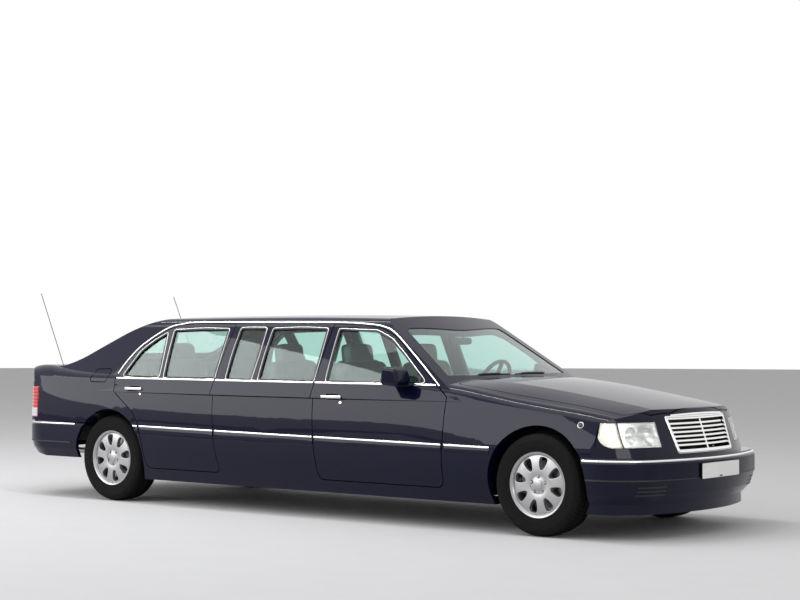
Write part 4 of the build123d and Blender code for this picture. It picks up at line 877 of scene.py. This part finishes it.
def tailLamp(hand):
    # Ribs round the corner of the tail, each half a wave to a power: red above the split, clear grey below it
    style = lampStyle["tail"]
    low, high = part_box("taillamps")
    for word, z0, z1, count, material, slotName in (
            ("tailRed", style["split"] + style["gap"], high.z - style["inset"], style["redRibs"], redLens,
             "red_lamp"),
            ("tailGrey", low.z + style["inset"], style["split"] - style["gap"], style["greyRibs"], greyLens,
             "clear_lamp")):
        levels = count * style["perRib"] + 1
        t, z = np.meshgrid(np.linspace(0, 1, 70), np.linspace(z0, z1, levels), indexing="ij")
        surface, out = lampSurface("taillamps", hand, t, z, (z0, z1), style["inset"])
        wave = np.abs(np.sin(math.pi * np.linspace(0, count, levels))) ** style["ribPower"]
        rib = style["ribFoot"] + style["ribHeight"] * wave
        layered(f"{word}_{hand}", surface + out * rib[None, :, None], surface - out * style["sheet"], material,
                sharp=50)


grilleStyle = {
    "outline": [(-0.396, 0.7955, 0.014), (0.396, 0.7955, 0.014), (0.3585, 0.566, 0.014),
                (-0.3585, 0.566, 0.014)],
    "rim": (0.013, 0.0045),
    "crown": {"half": 0.400, "level": 0.801, "rise": 0.010, "size": (0.018, 0.005)},
    "mesh": {"half": 0.37, "foot": 0.575, "top": 0.785, "footShare": 0.93, "front": 0.004, "thick": 0.003},
}


def grilleTrim():
    # A bright crowned rim round the grille's opening, a strip over it that rises as a parabola, and a dark mesh
    # behind the slats that widens upwards
    loop = roundedLoop(grilleStyle["outline"], 0.006)
    points, out, who = landOn(["grille"], np.column_stack([np.full(len(loop), 4.0), loop]), (-1, 0, 0))
    good = who >= 0
    sweep("grilleRim", points[good], evened(out[good], 9), halfRound(*grilleStyle["rim"]), chrome, "body",
          closed=True)
    style = grilleStyle["crown"]
    y = np.linspace(-style["half"], style["half"], 90)
    z = style["level"] + style["rise"] * (1 - (y / style["half"]) ** 2)
    stripAlong("grilleCrown", ["nose_panel", "grille", "hood"], np.column_stack([4.0 + 0 * y, y, z]), (-1, 0, 0),
               halfRound(*style["size"]), chrome, evenness=9)
    style = grilleStyle["mesh"]
    foot, top, share = style["foot"], style["top"], style["footShare"]
    y, z = np.meshgrid(np.linspace(-style["half"], style["half"], 60), np.linspace(foot, top, 20), indexing="ij")
    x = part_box("grille")[0].x + style["front"] + 0 * y
    front = np.stack([x, y * (share + (1 - share) * (z - foot) / (top - foot)), z], -1)
    layered("grilleMesh", front, front - [style["thick"], 0, 0], darkMesh)


for end in ("front", "rear"):
    bumperTrim(end)
numberPlate()
slotShadeStrips()
for hand in hands:
    fenderLamp(hand)
    tailLamp(hand)
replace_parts(headlamp("right"), "headlamps")
headlamp("left")
grilleTrim()
print("nose and tail done")


# Doors and mirrors: pull bars, finger hollows, locks, mirror glass, wipers

doorStyle = {
    "handles": {"front": (0.455, 0.890), "rear": (-1.630, 0.908)},  # middle of each bar, along X and up
    "bar": {"foot": 0.922, "face": {"front": 0.9485, "rear": 0.9345}, "size": (0.190, 0.020, 0.008),
            "crown": 0.003},
    "hollow": {"face": 0.8965, "size": (0.114, 0.038, 0.010), "thick": 0.0026},
    "lock": {"place": (0.070, -0.040), "radii": [0.0, 0.009, 0.0115, 0.0125],
             "heights": [0.0022, 0.0022, 0.0014, -0.002], "sides": 36},
    "mirror": {"x": 0.9945, "y": 0.960, "z": 1.047, "size": (0.096, 0.086, 0.018), "thick": 0.004,
               "crown": 0.0006},
}


def roundedPlate(name, corners, place, outward, thick, material, body, crown=0.0):
    # A flat plate from a rounded outline: place(a, b) gives points, the front lies thick along outward, and the
    # middle of the front is raised by the crown. Each ring is (share of the outline, height)
    loop = roundedLoop(corners, 0.004)
    n, outward, middle = len(loop), np.asarray(outward, float), loop.mean(0)
    rings = [(1, 0), (1, thick * 0.8), (0.985, thick), (0.9, thick + crown * 0.5), (0.5, thick + crown)]
    points = np.vstack([place(middle + (loop - middle) * share) + outward * height for share, height in rings])
    faces = [gridFaces(5, n, False, True), [list(range(n))[::-1]], [list(range(4 * n, 5 * n))]]
    return tidyNormals(addMesh(name, points, faces, material, body), sharp=35)


def doorHandle(end, hand):
    # A bright bar from the pull out past the door's skin, a dark liner in the finger hollow, and a round lock
    # below the bar's end
    sign, (x, z) = hands[hand], doorStyle["handles"][end]
    body = bodyOf[f"door_{end}_{hand}"]
    at = lambda y: (lambda loop: np.column_stack([loop[:, 0], np.full(len(loop), sign * y), loop[:, 1]]))
    bar, hollow, lock = doorStyle["bar"], doorStyle["hollow"], doorStyle["lock"]
    roundedPlate(f"handleBar_{end}_{hand}", squareCorners(x, z, *bar["size"]), at(bar["foot"]), (0, sign, 0),
                 bar["face"][end] - bar["foot"], chrome, body, bar["crown"])
    roundedPlate(f"handleHollow_{end}_{hand}", squareCorners(x, z, *hollow["size"]), at(hollow["face"]),
                 (0, sign, 0), hollow["thick"], blackPlastic, body)
    start = [x + lock["place"][0], sign * 1.4, z + lock["place"][1]]
    points = ringsOn([f"door_{end}_{hand}"], start, (0, -sign, 0), lock["radii"], lock["heights"],
                     lock["sides"])
    faces = [gridFaces(len(points), lock["sides"], False, True)]
    tidyNormals(addMesh(f"doorLock_{end}_{hand}", points, faces, chrome, body))


def mirrorGlassOf(hand):
    # A silvered plate on the rear face of the mirror's housing
    style = doorStyle["mirror"]
    at = lambda loop: np.column_stack([np.full(len(loop), style["x"]), loop[:, 0], loop[:, 1]])
    roundedPlate(f"mirrorGlass_{hand}", squareCorners(hands[hand] * style["y"], style["z"], *style["size"]), at,
                 (-1, 0, 0), style["thick"], mirrorGlass, bodyOf[f"mirror_{hand}"], style["crown"])


wiperStyle = {
    "lines": [((1.418, 0.560), (1.452, -0.060)), ((1.450, -0.100), (1.398, -0.640))], "count": 60,
    "wiperBlade": {"size": (0.009, 0.010), "part": slice(0, 60)},
    "wiperArm": {"size": (0.014, 0.016), "part": slice(14, 50)},
}


def wipers():
    # Each wiper is an arm and a blade on the windscreen's foot, along a straight plan line
    for k, (start, end) in enumerate(wiperStyle["lines"]):
        flat = np.linspace(start, end, wiperStyle["count"])
        for word in ("wiperBlade", "wiperArm"):
            style = wiperStyle[word]
            starts = np.column_stack([flat, np.full(len(flat), 2.0)])[style["part"]]
            points, out, who = landOn(["windshield"], starts, (0, 0, -1))
            good = who >= 0
            sweep(f"{word}{k}", points[good], evened(out[good], 9), halfRound(*style["size"], 0.0), blackPlastic,
                  "body")


for hand in hands:
    mirrorGlassOf(hand)
    for end in ("front", "rear"):
        doorHandle(end, hand)
wipers()
print("door furniture done")


# Cabin: padded seats, dash, console, door cards, floor lining and headlining

seatStyle = {
    "rows": [("front", 0.430, 0.400, 0.520), ("middle", -0.273, 0.400, 0.520), ("rear", -1.496, 0.368, 0.440)],
    # pad, place along X and up, length, width or None for the seat's, thickness, powers, lean, grid, pleats
    "pads": [("seatCushion", 0.215, 0.478, 0.545, None, 0.175, (0.32, 0.28), -4, (72, 48), (0.012, 6)),
             ("seatBack", -0.078, 0.822, 0.640, None, 0.150, (0.35, 0.28), 78, (72, 48), (0.010, 6)),
             ("headrest", -0.160, 1.180, 0.175, 0.265, 0.105, (0.45, 0.4), 82, (48, 32), (0.0, 0))],
    "post": {"side": 0.045, "foot": (-0.140, 1.06), "top": (-0.158, 1.15), "radius": 0.006},
    "plinth": {"x": 0.215, "z": 0.325, "length": 0.48, "narrower": 0.05, "height": 0.17},
}


def seatAt(row, x, y, width, hand):
    # A pleated cushion, a pleated back that leans by 12 degrees, and a headrest on two posts
    c = hands[hand] * y
    pads = [cushionBox(f"{word}_{row}_{hand}", (x + ahead, c, z), (length, wide or width, thick), power, leather,
                       "body", "seat_leather", turnY(lean), grid, *pleats)
            for word, ahead, z, length, wide, thick, power, lean, grid, pleats in seatStyle["pads"]]
    post, plinth = seatStyle["post"], seatStyle["plinth"]
    for side in (-1, 1):
        ends = [(x + ahead, c + side * post["side"], z) for ahead, z in (post["foot"], post["top"])]
        sweep(f"headrestPost{side}_{row}_{hand}", np.linspace(*ends, 4), [[1, 0, 0]] * 4,
              roundBar(post["radius"]), chrome, "body")
    cushionBox(f"seatPlinth_{row}_{hand}", (x + plinth["x"], c, plinth["z"]),
               (plinth["length"], width - plinth["narrower"], plinth["height"]), (0.2, 0.2), blackPlastic, "body",
               "dash_plastic", grid=(40, 24))
    return pads[0]


doorCardStyle = {
    "cards": {"front": (0.865, 0.98), "middle": (-0.185, 0.86), "rear": (-1.085, 0.72)}, "face": 0.8265,
    "parts": [  # part, forward, inward, height, share of length, thickness, height, powers, finish, slot, grid
        ("doorCard", 0.0, 0.0, 0.645, 1.0, 0.010, 0.600, (0.14, 0.14), dashSkin, "dash_plastic", (56, 32)),
        ("armrest", -0.05, 0.020, 0.700, 0.55, 0.044, 0.060, (0.4, 0.35), leather, "seat_leather", (48, 24)),
        ("doorWood", 0.0, 0.004, 0.900, 0.9, 0.010, 0.034, (0.3, 0.3), walnut, "dash_plastic", (40, 20))],
}


def doorCards():
    # A card, an armrest and a wood strip inside each door and on the fixed panel between them
    style = doorCardStyle
    for hand, sign in hands.items():
        for word, (x, length) in style["cards"].items():
            body = "body" if word == "middle" else bodyOf[f"door_{word}_{hand}"]
            for part, ahead, inward, z, share, thick, high, power, material, slotName, grid in style["parts"]:
                cushionBox(f"{part}_{word}_{hand}", (x + ahead, sign * (style["face"] - inward), z),
                           (length * share, thick, high), power, material, body, slotName, grid=grid)


dashStyle = {
    "parts": [  # name, middle, size, powers, finish, slot
        ("instrumentHood", (1.130, 0.385, 0.975), (0.22, 0.42, 0.085), (0.4, 0.4), dashSkin, "dash_plastic"),
        ("instrumentGlass", (1.0415, 0.385, 0.905), (0.008, 0.34, 0.105), (0.3, 0.5), darkMesh, "dash_plastic"),
        ("console", (0.72, 0.0, 0.49), (0.70, 0.22, 0.20), (0.22, 0.22), dashSkin, "dash_plastic"),
        ("consoleWood", (0.72, 0.0, 0.588), (0.62, 0.16, 0.012), (0.3, 0.3), walnut, "dash_plastic"),
        ("gearLever", (0.80, 0.0, 0.63), (0.045, 0.035, 0.075), (0.8, 0.8), leather, "seat_leather"),
        ("dashWood", (1.043, -0.28, 0.835), (0.012, 0.92, 0.040), (0.25, 0.25), walnut, "dash_plastic")],
    "vents": {"places": (-0.66, -0.13, 0.13, 0.66), "x": 1.042, "low": 0.905, "step": 0.013, "slats": 4,
              "size": (0.010, 0.13, 0.007)},
    "mirror": {"middle": (0.937, 0.0, 1.291), "size": (0.022, 0.235, 0.055),
               "stalk": [(0.945, 0, 1.305), (0.955, 0, 1.335), (0.950, 0, 1.362)], "stalkRadius": 0.007},
}


def dashDetail():
    # A hood over the instruments, a console down to the tunnel, vents, a wood strip and the driver's mirror
    for name, middle, size, power, material, slotName in dashStyle["parts"]:
        cushionBox(name, middle, size, power, material, "body", slotName)
    vents, mirror = dashStyle["vents"], dashStyle["mirror"]
    for k, y in enumerate(vents["places"]):
        for j in range(vents["slats"]):
            cushionBox(f"dashVent{k}_{j}", (vents["x"], y, vents["low"] + vents["step"] * j), vents["size"],
                       (0.3, 0.3), blackPlastic, "body", "dash_plastic", grid=(20, 12))
    cushionBox("cabinMirror", mirror["middle"], mirror["size"], (0.5, 0.35), blackPlastic, "body",
               "dash_plastic")
    sweep("mirrorStalk", mirror["stalk"], [[1, 0, 0]] * 3, roundBar(mirror["stalkRadius"]), blackPlastic, "body")


liningStyle = {
    "wells": ((0.93, 1.39), (0.24, 0.36), (-0.98, -0.34)), "reach": (0.145, 0.79), "level": 0.252, "wave": 0.001,
    "headliner": {"x": (-1.30, 0.84), "half": 0.52, "gap": 0.003}, "thick": 0.006,
}


def linings():
    # Floor lining in the foot wells, its top a product of two waves, and a headlining board just below the roof
    style, thick = liningStyle, [0, 0, liningStyle["thick"]]
    for hand, sign in hands.items():
        for k, ends in enumerate(style["wells"]):
            x, y = np.meshgrid(np.linspace(*ends, 24), sign * np.linspace(*style["reach"], 24), indexing="ij")
            top = np.stack([x, y, style["level"] + style["wave"] * np.sin(x * 31) * np.sin(y * 27)], -1)
            layered(f"floorLining{k}_{hand}", top, top - thick, carpet)
    ends, half = style["headliner"]["x"], style["headliner"]["half"]
    x, y = np.meshgrid(np.linspace(*ends, 60), np.linspace(-half, half, 30), indexing="ij")
    points = landOn(["roof_panel"], np.stack([x.ravel(), y.ravel(), 0.9 + 0 * x.ravel()], 1), (0, 0, 1))[0]
    under = points.reshape(x.shape + (3,)) - [0, 0, style["headliner"]["gap"]]
    layered("headliner", under, under - thick, headCloth)


for row, x, y, width in seatStyle["rows"]:
    for hand in hands:
        cushion = seatAt(row, x, y, width, hand)
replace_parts(cushion, "seats")
doorCards()
dashDetail()
linings()
print("cabin done")


# Stage, light and camera

studio = {
    "floorSize": 60.0, "floorTone": (0.60, 0.60, 0.61),
    "fill": 0.5,
    "sideBox": {"place": (-11.5, -15.0, 8.0), "aim": (0.0, 0.0, 1.4), "size": (17.0, 12.0), "watts": 2100.0},
    "topBox": {"place": (0.5, -3.0, 9.0), "aim": (0.0, 0.0, 0.8), "size": (14.0, 5.0), "watts": 320.0},
    "rimBox": {"place": (-3.5, -0.9, 7.2), "aim": (-3.5, -0.9, 0.0), "size": (9.0, 0.3), "watts": 230.0},
    "frontBox": {"place": (13.0, -5.0, 4.2), "aim": (2.8, 0.0, 0.7), "size": (5.0, 3.0), "watts": 200.0},
}
view = {"place": (8.91003, -10.83312, 1.33526), "yaw": 38.325, "pitch": 1.133, "roll": 0.103, "lens": 80.72}


def makeFloor():
    # A wide flat disc of rings of points under the wheels, paler than the object and lightly grained
    a = circle(96)
    radii = np.array([0.01, 4.0, 10.0, studio["floorSize"]])[:, None]
    points = np.stack([radii * np.cos(a), radii * np.sin(a), 0 * radii * a], -1)
    mesh = bpy.data.meshes.new("studioFloor")
    faces = gridFaces(len(radii), len(a), False, True).tolist() + [list(range(len(a)))]
    mesh.from_pydata(points.reshape(-1, 3).tolist(), [], faces)
    floor = bpy.data.objects.new("studioFloor", mesh)
    bpy.context.collection.objects.link(floor)
    mesh.materials.append(finishMaterial("floorPaper", studio["floorTone"], 0.85, tint=0.015, tintScale=3.0,
                                         relief=0.0004, reliefScale=350.0))


def softBox(name, place, aim, size, watts):
    # An area lamp turned from its place towards its aim
    lamp = bpy.data.lights.new(name, "AREA")
    lamp.shape = "RECTANGLE"
    lamp.size, lamp.size_y, lamp.energy = *size, watts
    thing = bpy.data.objects.new(name, lamp)
    thing.location = place
    thing.rotation_euler = (Vector(place) - Vector(aim)).to_track_quat("Z", "Y").to_euler()
    bpy.context.collection.objects.link(thing)


def makeWorld():
    # White where the camera, a mirror or glass looks past the object, and a soft grey fill for everything else
    world = bpy.data.worlds.new("studioWorld")
    bpy.context.scene.world = world
    world.use_nodes = True
    nodes, links = world.node_tree.nodes, world.node_tree.links
    path = nodes.new("ShaderNodeLightPath")
    fill, white = nodes["Background"], nodes.new("ShaderNodeBackground")
    for background, strength in ((fill, studio["fill"]), (white, 1.0)):
        background.inputs["Color"].default_value = (1, 1, 1, 1)
        background.inputs["Strength"].default_value = strength
    seen = path.outputs["Is Camera Ray"]
    for extra in ("Is Glossy Ray", "Is Transmission Ray"):
        either = nodes.new("ShaderNodeMath")
        either.operation = "MAXIMUM"
        links.new(seen, either.inputs[0])
        links.new(path.outputs[extra], either.inputs[1])
        seen = either.outputs["Value"]
    mix = nodes.new("ShaderNodeMixShader")
    links.new(seen, mix.inputs["Fac"])
    links.new(fill.outputs["Background"], mix.inputs[1])
    links.new(white.outputs["Background"], mix.inputs[2])
    links.new(mix.outputs["Shader"], nodes["World Output"].inputs["Surface"])


def makeCamera():
    # Turned up from looking down by 90 degrees plus the pitch, round by the yaw, and rolled about its own axis
    lens = bpy.data.cameras.new("camera")
    lens.lens, lens.sensor_width, lens.clip_end = view["lens"], 36.0, 200.0
    thing = bpy.data.objects.new("camera", lens)
    yaw, tilt, roll = (math.radians(a) for a in (view["yaw"], 90 + view["pitch"], view["roll"]))
    turn = Matrix.Rotation(yaw, 4, "Z") @ Matrix.Rotation(tilt, 4, "X") @ Matrix.Rotation(roll, 4, "Z")
    thing.matrix_world = Matrix.Translation(view["place"]) @ turn
    bpy.context.collection.objects.link(thing)
    bpy.context.scene.camera = thing


makeFloor()
for name in ("sideBox", "topBox", "rimBox", "frontBox"):
    softBox(name, **studio[name])
makeWorld()
makeCamera()
bpy.context.scene.view_settings.view_transform = "Standard"
print("stage done")
